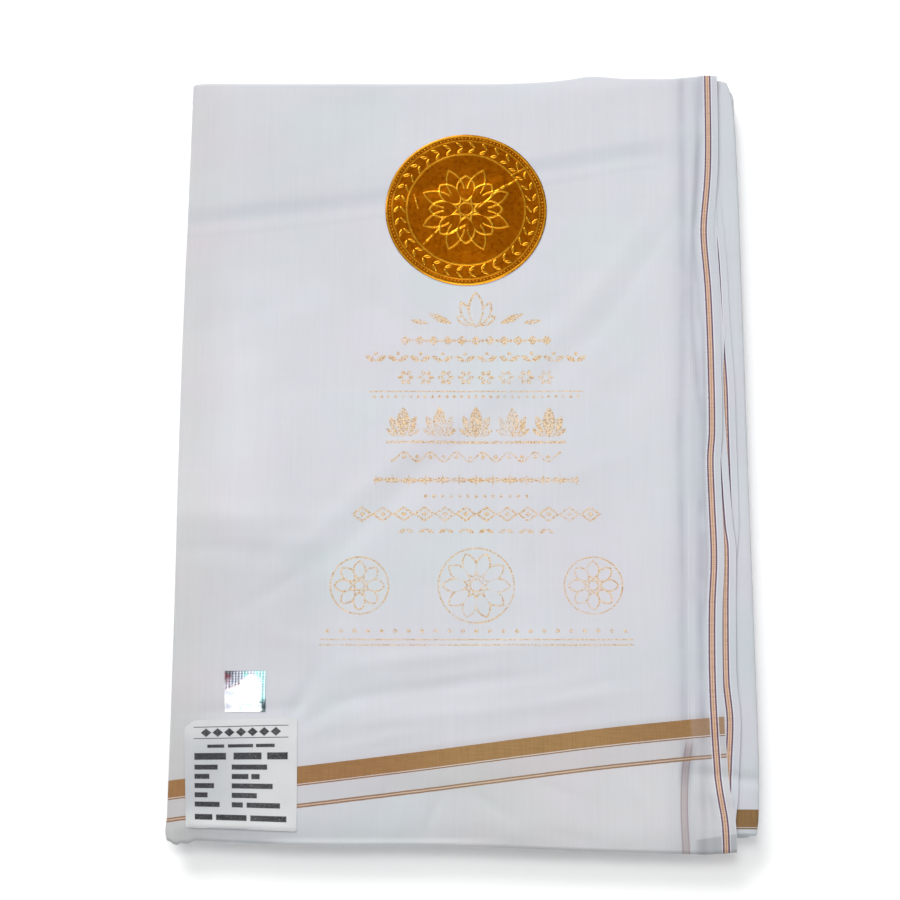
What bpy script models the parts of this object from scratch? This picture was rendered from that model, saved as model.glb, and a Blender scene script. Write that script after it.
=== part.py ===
"""A white cotton dhoti cloth, folded flat as for a shelf.

The cloth is folded in four across its width and in twenty along its length. The two selvedges and the
centre fold of the width lie along +X, the last fold of the width along -X. It rests on z = 0 with the
origin below the middle of the pile. Four stretches of cloth show and are walls of their own; every other
layer is in one rounded pile whose edges are layered like the folds.
"""

from math import cos, exp, hypot, pi, radians, sin

import bmesh
import bpy
from mathutils import Vector

MM = 0.001

# The cut of the cloth and how it is folded.
CLOTH_WIDTH = 1.270
CLOTH_LENGTH = 9.100
PLIES_ACROSS = 4
PLIES_ALONG = 20
PRESSED_LAYER = 0.000215
FOLD_SPREAD = 0.0091  # how far the uneven folds widen the pile

PILE_WIDTH = CLOTH_WIDTH / PLIES_ACROSS + FOLD_SPREAD
PILE_LENGTH = CLOTH_LENGTH / PLIES_ALONG
PILE_HEIGHT = PRESSED_LAYER * PLIES_ACROSS * PLIES_ALONG
SIDE = PILE_WIDTH / 2

# Walls.
WALL = 0.0010
SEAM_GAP = 0.0003
PLY_STEP = WALL + SEAM_GAP + 0.0002  # from one ply's middle to the next ply's

# Fold lips, to the middle of the wall.
LIP_RADIUS = 0.0016
LOWER_LIP_RADIUS = 0.0013
LIP_TURN = radians(165)
LIP_STEPS = 5

# Where the pile rounds down towards its folded edges.
SHOULDER_WIDTH = 0.016
SHOULDER_DROP = 0.0019

TOP_MIDDLE = PILE_HEIGHT + 0.0006 - WALL / 2  # middle of the top ply's wall, over the pile's middle

# Outer edges of the plies, in millimetres: "along" is the place on the axis that the edge runs along, "edge"
# is where the edge is there.
TOP_SELVEDGE = (  # along y, edge x
    (-231.0, 150.0),
    (-214.0, 149.4),
    (-196.0, 146.9),
    (-172.0, 145.6),
    (-136.0, 144.9),
    (-96.0, 145.9),
    (-66.0, 147.9),
    (-34.0, 147.7),
    (-8.0, 147.6),
    (8.0, 149.0),
    (40.0, 149.5),
    (94.0, 149.3),
    (124.0, 147.8),
    (136.0, 148.0),
    (166.0, 151.1),
    (190.0, 152.2),
    (231.0, 152.9),
)
SECOND_SELVEDGE = (  # along y, edge x
    (-231.0, 149.0),
    (-215.0, 149.4),
    (-200.0, 151.3),
    (-182.0, 152.5),
    (-158.0, 154.0),
    (-136.0, 152.6),
    (-97.0, 153.3),
    (-60.0, 154.6),
    (-47.0, 153.4),
    (-20.0, 152.3),
    (11.0, 151.1),
    (27.0, 150.7),
    (46.0, 150.8),
    (56.0, 151.5),
    (66.0, 151.9),
    (79.0, 151.3),
    (107.0, 150.3),
    (126.0, 149.8),
    (157.0, 150.0),
    (175.0, 150.0),
    (231.0, 150.0),
)
THIRD_SELVEDGE = (  # along y, edge x
    (-231.0, 149.0),
    (-120.0, 152.0),
    (-80.0, 153.6),
    (-55.0, 156.2),
    (-40.0, 157.0),
    (11.0, 157.0),
    (36.0, 157.0),
    (63.0, 156.0),
    (79.0, 155.5),
    (107.0, 155.0),
    (120.0, 154.5),
    (143.0, 152.9),
    (165.0, 151.2),
    (231.0, 150.5),
)
LOWER_FOLD_EDGE = (  # along y, edge x
    (-222.0, 161.4),
    (-208.0, 162.9),
    (-186.0, 163.9),
    (-100.0, 163.9),
    (60.0, 163.8),
    (150.0, 163.8),
    (184.0, 163.5),
    (204.0, 163.0),
    (214.0, 162.4),
    (224.0, 160.7),
    (230.0, 158.8),
)
LEFT_FOLD = (  # along y, edge x
    (-227.0, -162.0),
    (-219.0, -163.5),
    (-210.0, -162.9),
    (-100.0, -162.8),
    (-40.0, -163.3),
    (30.0, -163.6),
    (100.0, -163.4),
    (160.0, -162.8),
    (231.0, -162.4),
)
NEAR_FOLD = (  # along x, edge y
    (-163.0, -222.9),
    (-157.5, -226.6),
    (-154.5, -225.2),
    (-151.5, -225.9),
    (-147.0, -224.2),
    (-135.0, -224.6),
    (-80.0, -226.8),
    (-15.0, -227.0),
    (30.0, -228.4),
    (60.0, -229.6),
    (125.0, -231.5),
    (133.0, -231.7),
    (141.0, -231.3),
    (150.0, -230.6),
)
FAR_FOLD = (  # along x, edge y
    (-163.0, 226.9),
    (-20.0, 226.9),
    (20.0, 227.0),
    (45.0, 227.8),
    (64.0, 229.6),
    (74.0, 231.4),
    (84.0, 231.3),
    (96.0, 230.3),
    (113.0, 230.3),
    (125.0, 230.4),
    (138.0, 231.4),
    (145.0, 232.3),
    (154.0, 231.9),
)
LOWER_NEAR = (  # along x, edge y
    (110.0, -220.0),
    (163.0, -221.8),
)
LOWER_FAR = (  # along x, edge y
    (110.0, 226.5),
    (148.0, 228.2),
    (153.7, 229.8),
    (159.5, 228.6),
    (164.0, 226.4),
)

# The main creases of the cloth, in millimetres. Each runs from one point to another, with a soft
# bell-shaped section: "width" is to where it fades, "rise" is its height, below zero for a trough.
CREASES = (
    # from x, from y, to x, to y, width, rise
    (-118.0, -62.0, -14.0, 14.0, 15.0, 0.50),
    (-14.0, 14.0, 122.0, 146.0, 17.0, 0.45),
    (-146.0, -49.0, -70.0, -45.0, 11.0, -0.40),
    (-60.0, -150.0, 58.0, -127.0, 15.0, -0.45),
    (-101.0, -158.0, -70.0, -128.0, 9.0, -0.40),
    (-150.0, 140.0, 110.0, 184.0, 14.0, -0.25),
    (127.5, -228.0, 121.0, -90.0, 5.0, -0.55),
    (121.0, -90.0, 128.5, 228.0, 5.0, -0.50),
    (134.5, -150.0, 133.0, 228.0, 4.0, 0.35),
    (120.0, -186.0, 150.0, -190.0, 10.0, -0.45),
    (-148.0, -216.0, -92.0, -218.0, 5.0, 0.70),
    (60.0, 222.0, 104.0, 222.0, 16.0, 0.70),
)

# Rows and columns of the walls, as shares of the way across.
TOP_COLUMNS = (
    0, 0.012, 0.03, 0.05, 0.10, 0.16, 0.22, 0.28, 0.34, 0.40, 0.46, 0.52, 0.58, 0.64,
    0.70, 0.76, 0.82, 0.87, 0.895, 0.912, 0.928, 0.945, 0.96, 0.98, 1,
)
TOP_ROWS = 36
STRIP_ROWS = 34
STRIP_COLUMNS = 5
STRIP_START = 0.1250  # the strips end here under the top ply, and near and far inside its folds
STRIP_NEAR = -0.2130
STRIP_FAR = 0.2110

# The hidden layers. Each row is one bundle of folded plies, from the floor up: its height, and how far its
# edge lies inside the pile's, in millimetres.
FOLD_BUNDLES = (
    # height, left, right, near, far
    (1.7, 1.7, 1.5, 6.6, 2.6),
    (1.5, 0.5, 2.6, 4.4, 1.1),
    (1.6, 1.5, 0.9, 7.4, 3.3),
    (1.5, 0.4, 1.9, 5.2, 1.4),
    (1.6, 1.9, 0.7, 8.2, 2.7),
    (1.5, 0.9, 2.4, 5.9, 0.9),
    (1.7, 2.2, 1.2, 8.6, 3.0),
)
RIGHT_PRESSED = 0.66  # the bundles' height on the right, as a share of that on the left
RIGHT_PRESSED_FROM = 0.030
RIGHT_PRESSED_TO = 0.115
BUNDLE_GROOVE = 0.0009
BUNDLE_WAVE = 0.0007
PILE_CORNER = 0.006
CORNER_STEPS = 5
SIDE_STEPS_X = 9
SIDE_STEPS_Y = 13
FLOOR_INSET = 0.0024

# Things stuck on the top ply.
STICKER_GAP = 0.0004
SEAL_RADIUS = 0.0477
SEAL_CENTRE = (0.0018, 0.1450)
SEAL_THICK = 0.0004
SEAL_RINGS = 6
SEAL_STEPS = 48
HOLOGRAM_CORNERS = (  # near left, near right, far left, far right
    (-0.1324, -0.1536),
    (-0.1098, -0.1536),
    (-0.1330, -0.1307),
    (-0.1102, -0.1307),
)
HOLOGRAM_THICK = 0.0003
LABEL_CORNERS = (  # near left, near right, far left, far right
    (-0.1519, -0.2173),
    (-0.0912, -0.2196),
    (-0.1543, -0.1587),
    (-0.0919, -0.1568),
)
LABEL_THICK = 0.0003


def between(start, end, share):
    return start + (end - start) * share


def edge_at(rows, along):
    """The edge's place in metres, on a smooth line through the rows."""
    place = along / MM
    place = min(max(place, rows[0][0]), rows[-1][0])
    last = len(rows) - 1
    i = max(k for k in range(last) if rows[k][0] <= place)
    before, after = max(i - 1, 0), min(i + 2, last)
    span = rows[i + 1][0] - rows[i][0]
    slope_in = (rows[i + 1][1] - rows[before][1]) / (rows[i + 1][0] - rows[before][0]) * span
    slope_out = (rows[after][1] - rows[i][1]) / (rows[after][0] - rows[i][0]) * span
    t = (place - rows[i][0]) / span
    near_start = (1 + 2 * t) * (1 - t) ** 2 * rows[i][1] + t * (1 - t) ** 2 * slope_in
    near_end = t * t * (3 - 2 * t) * rows[i + 1][1] + t * t * (t - 1) * slope_out
    return (near_start + near_end) * MM


def crease_rise(x, y):
    """How far the creases lift or lower the cloth at a place."""
    total = 0.0
    for from_x, from_y, to_x, to_y, width, rise in CREASES:
        start = Vector((from_x, from_y)) * MM
        run = Vector((to_x, to_y)) * MM - start
        share = (Vector((x, y)) - start).dot(run) / run.length_squared
        held = min(max(share, 0.0), 1.0)
        away = (Vector((x, y)) - start - run * held).length / (width * MM)
        taper = 1 - (2 * held - 1) ** 4 * 0.5
        total += rise * MM * taper * exp(-4 * away * away)
    return total


def shoulder(distance):
    """How far the pile has rounded down at this distance from a folded edge."""
    left = max(0.0, 1 - distance / SHOULDER_WIDTH)
    return SHOULDER_DROP * left * left


def top_height(x, y):
    """The middle of the top ply's wall over a place."""
    from_left = x - edge_at(LEFT_FOLD, y)
    from_near = y - edge_at(NEAR_FOLD, x)
    from_far = edge_at(FAR_FOLD, x) - y
    drop = hypot(shoulder(from_left), shoulder(from_near), shoulder(from_far))
    calm = min(1.0, max(0.0, min(from_left, from_near, from_far)) / (0.5 * SHOULDER_WIDTH))
    return TOP_MIDDLE - drop + crease_rise(x, y) * (0.3 + 0.7 * calm)


def turned_in(angles_before, shares, angles_after):
    """Stations across a wall: (share of the way across, turn of the lip at the start or the end)."""
    stations = [(shares[0], -angle) for angle in angles_before]
    stations += [(share, 0.0) for share in shares]
    stations += [(shares[-1], angle) for angle in angles_after]
    return stations


def lip_angles():
    return [LIP_TURN * step / LIP_STEPS for step in range(1, LIP_STEPS + 1)]


def folded_ply(columns, rows, left, right, near, far, height, radius):
    """A grid over the middle of a ply. A station's turn rolls the wall round the fold at that edge."""
    grid = []
    for share_y, turn_y in rows:
        line = []
        for share_x, turn_x in columns:
            x = between(left(0.0), right(0.0), share_x)
            y = between(near(x), far(x), share_y)
            x = between(left(y), right(y), share_x)
            y = between(near(x), far(x), share_y)
            turn = max(abs(turn_x), abs(turn_y))
            out = Vector((turn_x, turn_y))
            out = out.normalized() * radius * sin(turn) if turn else out
            z = height(x, y) - radius * (1 - cos(turn))
            line.append(Vector((x + out.x, y + out.y, z)))
        grid.append(line)
    return grid


def grid_normals(grid):
    last_row, last_column = len(grid) - 1, len(grid[0]) - 1
    normals = []
    for j, line in enumerate(grid):
        normals.append([])
        for i in range(len(line)):
            across = line[min(i + 1, last_column)] - line[max(i - 1, 0)]
            along = grid[min(j + 1, last_row)][i] - grid[max(j - 1, 0)][i]
            normals[-1].append(across.cross(along).normalized())
    return normals


def wall_from_grid(name, grid, lower, upper, material):
    """A closed wall between two offsets from a grid, along its normals."""
    normals = grid_normals(grid)
    rows, columns = len(grid), len(grid[0])
    bm = bmesh.new()
    sheets = []
    for offset in (lower, upper):
        sheets.append([
            [bm.verts.new(grid[j][i] + normals[j][i] * offset) for i in range(columns)]
            for j in range(rows)
        ])
    below, above = sheets
    for j in range(rows - 1):
        for i in range(columns - 1):
            corners = ((j, i), (j, i + 1), (j + 1, i + 1), (j + 1, i))
            bm.faces.new([above[r][c] for r, c in corners])
            bm.faces.new([below[r][c] for r, c in reversed(corners)])
    rim = [(0, i) for i in range(columns)]
    rim += [(j, columns - 1) for j in range(1, rows)]
    rim += [(rows - 1, i) for i in range(columns - 2, -1, -1)]
    rim += [(j, 0) for j in range(rows - 2, 0, -1)]
    for here, after in zip(rim, rim[1:] + rim[:1]):
        bm.faces.new((
            below[here[0]][here[1]],
            below[after[0]][after[1]],
            above[after[0]][after[1]],
            above[here[0]][here[1]],
        ))
    return finished(name, bm, material)


def finished(name, bm, material):
    mesh = bpy.data.meshes.new(name)
    bm.to_mesh(mesh)
    bm.free()
    mesh.materials.append(material)
    mesh.shade_smooth()
    mesh.set_sharp_from_angle(angle=radians(50))
    piece = bpy.data.objects.new(name, mesh)
    bpy.context.scene.collection.objects.link(piece)
    return piece


def plain_material(name, colour, roughness, metallic=0.0):
    material = bpy.data.materials.new(name)
    material.use_nodes = True
    shader = material.node_tree.nodes["Principled BSDF"]
    shader.inputs["Base Color"].default_value = (*colour, 1.0)
    shader.inputs["Roughness"].default_value = roughness
    shader.inputs["Metallic"].default_value = metallic
    return material


def make_top_ply(cotton):
    """The uppermost stretch: folds on the left, near and far sides, a selvedge on the right."""
    reach = LIP_RADIUS + WALL / 2
    grid = folded_ply(
        turned_in(lip_angles()[::-1], TOP_COLUMNS, []),
        turned_in(lip_angles()[::-1], [j / TOP_ROWS for j in range(TOP_ROWS + 1)], lip_angles()),
        left=lambda y: edge_at(LEFT_FOLD, y) + reach,
        right=lambda y: edge_at(TOP_SELVEDGE, y),
        near=lambda x: edge_at(NEAR_FOLD, x) + reach,
        far=lambda x: edge_at(FAR_FOLD, x) - reach,
        height=top_height,
        radius=LIP_RADIUS,
    )
    return wall_from_grid("top_ply", grid, -WALL / 2, WALL / 2, cotton)


def make_selvedge_strip(name, selvedge, step, cotton):
    """The stretch that shows of a ply below the top one, which lies in the same creases."""
    grid = folded_ply(
        turned_in([], [i / STRIP_COLUMNS for i in range(STRIP_COLUMNS + 1)], []),
        turned_in([], [j / STRIP_ROWS for j in range(STRIP_ROWS + 1)], []),
        left=lambda y: STRIP_START,
        right=lambda y: edge_at(selvedge, y),
        near=lambda x: STRIP_NEAR,
        far=lambda x: STRIP_FAR,
        height=lambda x, y: top_height(x, y) - step * PLY_STEP,
        radius=LIP_RADIUS,
    )
    return wall_from_grid(name, grid, -WALL / 2, WALL / 2, cotton)


def make_lower_fold(cotton):
    """The centre fold of the width, the outermost strip on the right."""
    reach = LOWER_LIP_RADIUS + WALL / 2

    def height(x, y):
        from_edge = edge_at(LOWER_FOLD_EDGE, y) - x
        ends = hypot(
            shoulder(y - edge_at(LOWER_NEAR, x)),
            shoulder(edge_at(LOWER_FAR, x) - y),
        )
        return TOP_MIDDLE - 3 * PLY_STEP + crease_rise(x, y) - ends / 2 - shoulder(from_edge) / 3

    grid = folded_ply(
        turned_in([], [i / STRIP_COLUMNS for i in range(STRIP_COLUMNS + 1)], lip_angles()),
        turned_in(lip_angles()[::-1], [j / STRIP_ROWS for j in range(STRIP_ROWS + 1)], lip_angles()),
        left=lambda y: STRIP_START,
        right=lambda y: edge_at(LOWER_FOLD_EDGE, y) - reach,
        near=lambda x: edge_at(LOWER_NEAR, x) + reach,
        far=lambda x: edge_at(LOWER_FAR, x) - reach,
        height=height,
        radius=LOWER_LIP_RADIUS,
    )
    return wall_from_grid("lower_fold", grid, -WALL / 2, WALL / 2, cotton)


def pile_ring(z, left, right, near, far, wave):
    """Points round the pile at one height, with rounded corners and wavering sides."""
    x_low, x_high = -SIDE + left, SIDE - right
    y_low, y_high = -PILE_LENGTH / 2 + near, PILE_LENGTH / 2 + far
    corners = (
        (x_high - PILE_CORNER, y_low + PILE_CORNER, -90),
        (x_high - PILE_CORNER, y_high - PILE_CORNER, 0),
        (x_low + PILE_CORNER, y_high - PILE_CORNER, 90),
        (x_low + PILE_CORNER, y_low + PILE_CORNER, 180),
    )
    points = []
    for k, (x, y, start) in enumerate(corners):
        for step in range(CORNER_STEPS + 1):
            angle = radians(start + 90 * step / CORNER_STEPS)
            points.append((x + PILE_CORNER * cos(angle), y + PILE_CORNER * sin(angle)))
        steps = SIDE_STEPS_X if k % 2 else SIDE_STEPS_Y
        here = points[-1]
        x_next, y_next, start_next = corners[(k + 1) % 4]
        turn = radians(start_next)
        there = (x_next + PILE_CORNER * cos(turn), y_next + PILE_CORNER * sin(turn))
        for step in range(1, steps):
            share = step / steps
            points.append((between(here[0], there[0], share), between(here[1], there[1], share)))
    ring = []
    for x, y in points:
        waver = sin(x * 31 + wave * 2.1) * sin(y * 23 + wave * 1.7) + 0.5 * sin(x * 57 - y * 41 + wave)
        inward = 1 - BUNDLE_WAVE * waver / hypot(x, y)
        pressed = (x - RIGHT_PRESSED_FROM) / (RIGHT_PRESSED_TO - RIGHT_PRESSED_FROM)
        pressed = min(1.0, max(0.0, pressed))
        height = z * between(1.0, RIGHT_PRESSED, pressed)
        ring.append(Vector((x * inward, y * inward, height)))
    return ring


def make_hidden_folds(cotton):
    """Every layer that doesn't show, with a bulge at its edge for each bundle of folds."""
    rings = []
    z = 0.0
    for k, (height, left, right, near, far) in enumerate(FOLD_BUNDLES):
        sides = [left * MM, right * MM, near * MM, -far * MM]
        groove = [sides[0] + BUNDLE_GROOVE, sides[1] + BUNDLE_GROOVE,
                  sides[2] + BUNDLE_GROOVE, sides[3] - BUNDLE_GROOVE]
        if k == 0:
            floor = [sides[0] + FLOOR_INSET, sides[1] + FLOOR_INSET,
                     sides[2] + FLOOR_INSET, sides[3] - FLOOR_INSET]
            rings.append(pile_ring(0.0, *floor, k))
        rings.append(pile_ring(z + 0.22 * height * MM, *between_all(groove, sides, 0.6), k))
        rings.append(pile_ring(z + 0.50 * height * MM, *sides, k))
        rings.append(pile_ring(z + 0.80 * height * MM, *between_all(groove, sides, 0.6), k))
        z += height * MM
        rings.append(pile_ring(z, *groove, k + 0.5))
    # The pile steps in below the lips of the plies that show, then reaches up under the top ply.
    rings.append(pile_ring(z + 0.0001, 0.0058, 0.0062, 0.0130, -0.0058, 9))
    rings.append(pile_ring(z + 0.0020, 0.0070, 0.0080, 0.0150, -0.0070, 9))
    rings.append(pile_ring(z + 0.0022, 0.0110, 0.0500, 0.0190, -0.0110, 9))
    rings.append(pile_ring(TOP_MIDDLE - WALL / 2 - 0.0008, 0.0200, 0.0520, 0.0300, -0.0200, 9))
    bm = bmesh.new()
    loops = [[bm.verts.new(point) for point in ring] for ring in rings]
    count = len(loops[0])
    for lower, upper in zip(loops, loops[1:]):
        for i in range(count):
            after = (i + 1) % count
            bm.faces.new((lower[i], lower[after], upper[after], upper[i]))
    bm.faces.new(loops[0][::-1])
    bm.faces.new(loops[-1])
    return finished("hidden_folds", bm, cotton)


def between_all(starts, ends, share):
    return [between(start, end, share) for start, end in zip(starts, ends)]


def on_top_ply(x, y, lift):
    """A point over the top ply's outer face."""
    return Vector((x, y, top_height(x, y) + WALL / 2 + lift))


def make_foil_seal(foil):
    """A round foil sticker, laid on the top ply."""
    bm = bmesh.new()
    lower_loops, upper_loops = [], []
    for ring in range(1, SEAL_RINGS + 1):
        radius = SEAL_RADIUS * ring / SEAL_RINGS
        for lift, loops in ((STICKER_GAP, lower_loops), (STICKER_GAP + SEAL_THICK, upper_loops)):
            loops.append([])
            for step in range(SEAL_STEPS):
                angle = 2 * pi * step / SEAL_STEPS
                x = SEAL_CENTRE[0] + radius * cos(angle)
                y = SEAL_CENTRE[1] + radius * sin(angle)
                loops[-1].append(bm.verts.new(on_top_ply(x, y, lift)))
    centre_low = bm.verts.new(on_top_ply(*SEAL_CENTRE, STICKER_GAP))
    centre_high = bm.verts.new(on_top_ply(*SEAL_CENTRE, STICKER_GAP + SEAL_THICK))
    for i in range(SEAL_STEPS):
        after = (i + 1) % SEAL_STEPS
        bm.faces.new((centre_high, upper_loops[0][i], upper_loops[0][after]))
        bm.faces.new((centre_low, lower_loops[0][after], lower_loops[0][i]))
        for inner, outer in zip(upper_loops, upper_loops[1:]):
            bm.faces.new((inner[i], outer[i], outer[after], inner[after]))
        for inner, outer in zip(lower_loops, lower_loops[1:]):
            bm.faces.new((inner[i], inner[after], outer[after], outer[i]))
        bm.faces.new((
            upper_loops[-1][i], lower_loops[-1][i], lower_loops[-1][after], upper_loops[-1][after],
        ))
    return finished("foil_seal", bm, foil)


def make_flat_sticker(name, corners, thick, steps, material):
    """A four-sided sticker, laid on the top ply."""
    near_left, near_right, far_left, far_right = (Vector(corner) for corner in corners)
    grid = []
    for j in range(steps + 1):
        start = between(near_left, far_left, j / steps)
        end = between(near_right, far_right, j / steps)
        line = [between(start, end, i / steps) for i in range(steps + 1)]
        grid.append([on_top_ply(place.x, place.y, STICKER_GAP) for place in line])
    return wall_from_grid(name, grid, 0.0, thick, material)


def main():
    for thing in list(bpy.data.objects):
        bpy.data.objects.remove(thing, do_unlink=True)
    cotton = (0.66, 0.68, 0.71)
    make_top_ply(plain_material("top_ply_cotton", cotton, 0.85))
    make_selvedge_strip("second_ply", SECOND_SELVEDGE, 1, plain_material("second_ply_cotton", cotton, 0.85))
    make_selvedge_strip("third_ply", THIRD_SELVEDGE, 2, plain_material("third_ply_cotton", cotton, 0.85))
    make_lower_fold(plain_material("lower_fold_cotton", cotton, 0.85))
    make_hidden_folds(plain_material("hidden_folds_cotton", (0.62, 0.64, 0.68), 0.88))
    make_foil_seal(plain_material("gold_foil", (0.42, 0.17, 0.01), 0.32, 1.0))
    make_flat_sticker(
        "hologram_square", HOLOGRAM_CORNERS, HOLOGRAM_THICK, 4,
        plain_material("silver_film", (0.72, 0.76, 0.80), 0.25, 1.0),
    )
    make_flat_sticker(
        "paper_label", LABEL_CORNERS, LABEL_THICK, 10,
        plain_material("label_paper", (0.80, 0.81, 0.82), 0.6),
    )


main()
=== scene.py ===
from functools import reduce
from math import cos, pi, radians, sin

import bmesh
import bpy
import numpy as np
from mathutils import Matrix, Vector, noise


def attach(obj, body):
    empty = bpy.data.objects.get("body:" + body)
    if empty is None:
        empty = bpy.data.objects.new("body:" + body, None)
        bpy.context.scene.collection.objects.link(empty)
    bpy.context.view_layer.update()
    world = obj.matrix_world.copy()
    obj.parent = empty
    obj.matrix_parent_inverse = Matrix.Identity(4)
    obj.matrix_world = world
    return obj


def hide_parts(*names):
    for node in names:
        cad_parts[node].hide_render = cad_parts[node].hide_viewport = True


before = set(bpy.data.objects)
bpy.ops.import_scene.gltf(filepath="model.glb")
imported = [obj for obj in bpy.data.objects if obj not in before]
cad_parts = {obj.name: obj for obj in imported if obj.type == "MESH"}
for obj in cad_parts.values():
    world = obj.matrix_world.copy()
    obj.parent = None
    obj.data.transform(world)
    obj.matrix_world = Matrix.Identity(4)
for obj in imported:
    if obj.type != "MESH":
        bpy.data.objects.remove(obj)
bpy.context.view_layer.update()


# ---------------------------------------------------------------------------------------------------------
# The folded pile: every layer of the cloth that doesn't show from above, seventy-odd of them, pressed flat.
# Its sides are the round folds of the cotton one over another. It is made by Geometry Nodes, because each
# fold follows the same rule: a bulge that wavers in and out along the pile's outline.

PILE_LEFT, PILE_RIGHT = -0.1621, 0.1620
PILE_NEAR, PILE_FAR = -0.2200, 0.2245
PILE_CORNER = 0.0065
PILE_RIM = 0.0122           # height of the folds at the left, near and far sides
PILE_RIM_RIGHT = 0.0134
SIDE_FOLDS = 14             # folds of the width that show, one over another, on the left and right
END_FOLDS = 8               # folds of the length on the near and far sides, thicker
SIDE_WAVER, END_WAVER = 0.0011, 0.0018
PILE_COLUMNS, PILE_ROWS = 521, 121
TICK_PLACE, TICK_SCATTER = 144.5, 5.0   # millimetres to the right, where the border ends at each fold
TICK_HALF, TICK_CORE_HALF = 1.9, 1.1    # half its width there, and half that of the gold in its middle
COTTON = (0.522, 0.533, 0.560)
ROSY, GREENISH = (1.026, 0.984, 1.014), (0.968, 1.010, 1.004)   # what the cotton's tint varies between
YARN_HEIGHT = 0.00006
METRE = 1000.0              # in millimetres


def feed(node, inputs):
    """Gives each of these inputs of a node its value, or the socket that feeds it."""
    for key, value in inputs.items():
        value = value.socket if isinstance(value, Measure) else value
        if isinstance(value, bpy.types.NodeSocket):
            node.id_data.links.new(value, node.inputs[key])
        else:
            node.inputs[key].default_value = value


def put(tree, kind, inputs=None, **settings):
    """Adds a node with its settings and inputs."""
    node = tree.nodes.new(kind)
    for name, value in settings.items():
        setattr(node, name, value)
    feed(node, inputs or {})
    return node


class Measure:
    """A number that varies over a surface. Sums written with it become Math nodes."""

    def __init__(self, tree, socket):
        self.tree = tree
        self.socket = socket

    def math(self, operation, *others, clamp=False):
        terms = dict(enumerate((self, *others)))
        node = put(self.tree, "ShaderNodeMath", terms, operation=operation, use_clamp=clamp)
        return Measure(self.tree, node.outputs[0])

    def __add__(self, other):
        return self.math("ADD", other)

    def __sub__(self, other):
        return self.math("SUBTRACT", other)

    def __mul__(self, other):
        return self.math("MULTIPLY", other)

    def __truediv__(self, other):
        return self.math("DIVIDE", other)

    def __neg__(self):
        return self.math("MULTIPLY", -1.0)

    def __abs__(self):
        return self.math("ABSOLUTE")

    def least(self, other):
        return self.math("MINIMUM", other)

    def most(self, other):
        return self.math("MAXIMUM", other)

    def eased(self, start, end, low=0.0, high=1.0):
        """Goes softly from low to high between start and end."""
        node = put(
            self.tree, "ShaderNodeMapRange",
            {"Value": self, "From Min": start, "From Max": end, "To Min": low, "To Max": high},
            interpolation_type="SMOOTHSTEP",
        )
        return Measure(self.tree, node.outputs["Result"])

    def within(self, reach, start, end):
        """Rises softly from start to end with how far this lies within reach of zero, on either side."""
        return (-abs(self) + reach).eased(start, end)


def parts_of(tree, vector):
    """A vector's three parts."""
    split = put(tree, "ShaderNodeSeparateXYZ", {0: vector})
    return [Measure(tree, split.outputs[k]) for k in range(3)]


def vector_of(tree, x=0.0, y=0.0, z=0.0):
    return put(tree, "ShaderNodeCombineXYZ", {0: x, 1: y, 2: z}).outputs[0]


def grey_of(tree, value):
    return put(tree, "ShaderNodeCombineColor", {k: value for k in range(3)}).outputs[0]


def stored_on(tree, name):
    """A measure that is stored on the mesh."""
    return Measure(tree, put(tree, "ShaderNodeAttribute", attribute_name=name).outputs["Fac"])


def mottled(tree, place, scale, detail=2.0, **more):
    """Smooth noise from 0 to 1."""
    inputs = {"Vector": place, "Scale": scale, "Detail": detail, **more}
    return Measure(tree, put(tree, "ShaderNodeTexNoise", inputs).outputs[0])


def drawn_out(tree, place, scale, detail=2.0, location=(0.0, 0.0, 0.0), **more):
    """Noise drawn out along the yarns, about zero."""
    mapped = put(tree, "ShaderNodeMapping", {"Vector": place, "Location": location, "Scale": scale})
    return mottled(tree, mapped.outputs[0], 1.0, detail, **more) - 0.5


def graded(tree, share, stops):
    """A colour ramp through stops, each a place, its colour and how much it covers."""
    ramp = put(tree, "ShaderNodeValToRGB", {"Fac": share})
    elements = ramp.color_ramp.elements
    elements.remove(elements[-1])
    for k, (place, colour, *cover) in enumerate(stops):
        element = elements.new(place) if k else elements[0]
        element.position = place
        element.color = (*colour, *(cover or [1.0]))
    return ramp


def mixed(tree, share, under, over, blend="MIX"):
    """One colour over another."""
    under, over = ((*colour, 1.0) if isinstance(colour, tuple) else colour for colour in (under, over))
    mix = put(tree, "ShaderNodeMix", {0: share, 6: under, 7: over}, data_type="RGBA", blend_type=blend)
    return mix.outputs[2]


def bumped(tree, height, strength, distance):
    """The normals of a surface that rises and falls with a height."""
    inputs = {"Height": height, "Strength": strength, "Distance": distance}
    return put(tree, "ShaderNodeBump", inputs).outputs[0]


def new_material(name, values):
    """A material with these values all over it: itself, its tree, its shader and Object coordinates."""
    material = bpy.data.materials.new(name)
    material.use_nodes = True
    tree = material.node_tree
    shader = tree.nodes["Principled BSDF"]
    feed(shader, values)
    return material, tree, shader, put(tree, "ShaderNodeTexCoord").outputs["Object"]


def new_group(name, kind, inputs, outputs):
    """A node group with named sockets: its tree, its inputs by name, and the node that ends it."""
    group = bpy.data.node_groups.new(name, kind)
    for title, socket_kind, value in inputs:
        socket = group.interface.new_socket(title, in_out="INPUT", socket_type="NodeSocket" + socket_kind)
        if value is not None:
            socket.default_value = value
    for title, socket_kind in outputs:
        group.interface.new_socket(title, in_out="OUTPUT", socket_type="NodeSocket" + socket_kind)
    start = put(group, "NodeGroupInput")
    end = put(group, "NodeGroupOutput")
    return group, start.outputs, end


def through(group, geometry, kind, inputs=None, **settings):
    """What a step of Geometry Nodes makes of a geometry."""
    return put(group, "GeometryNode" + kind, {"Geometry": geometry, **(inputs or {})}, **settings).outputs[0]


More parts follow.
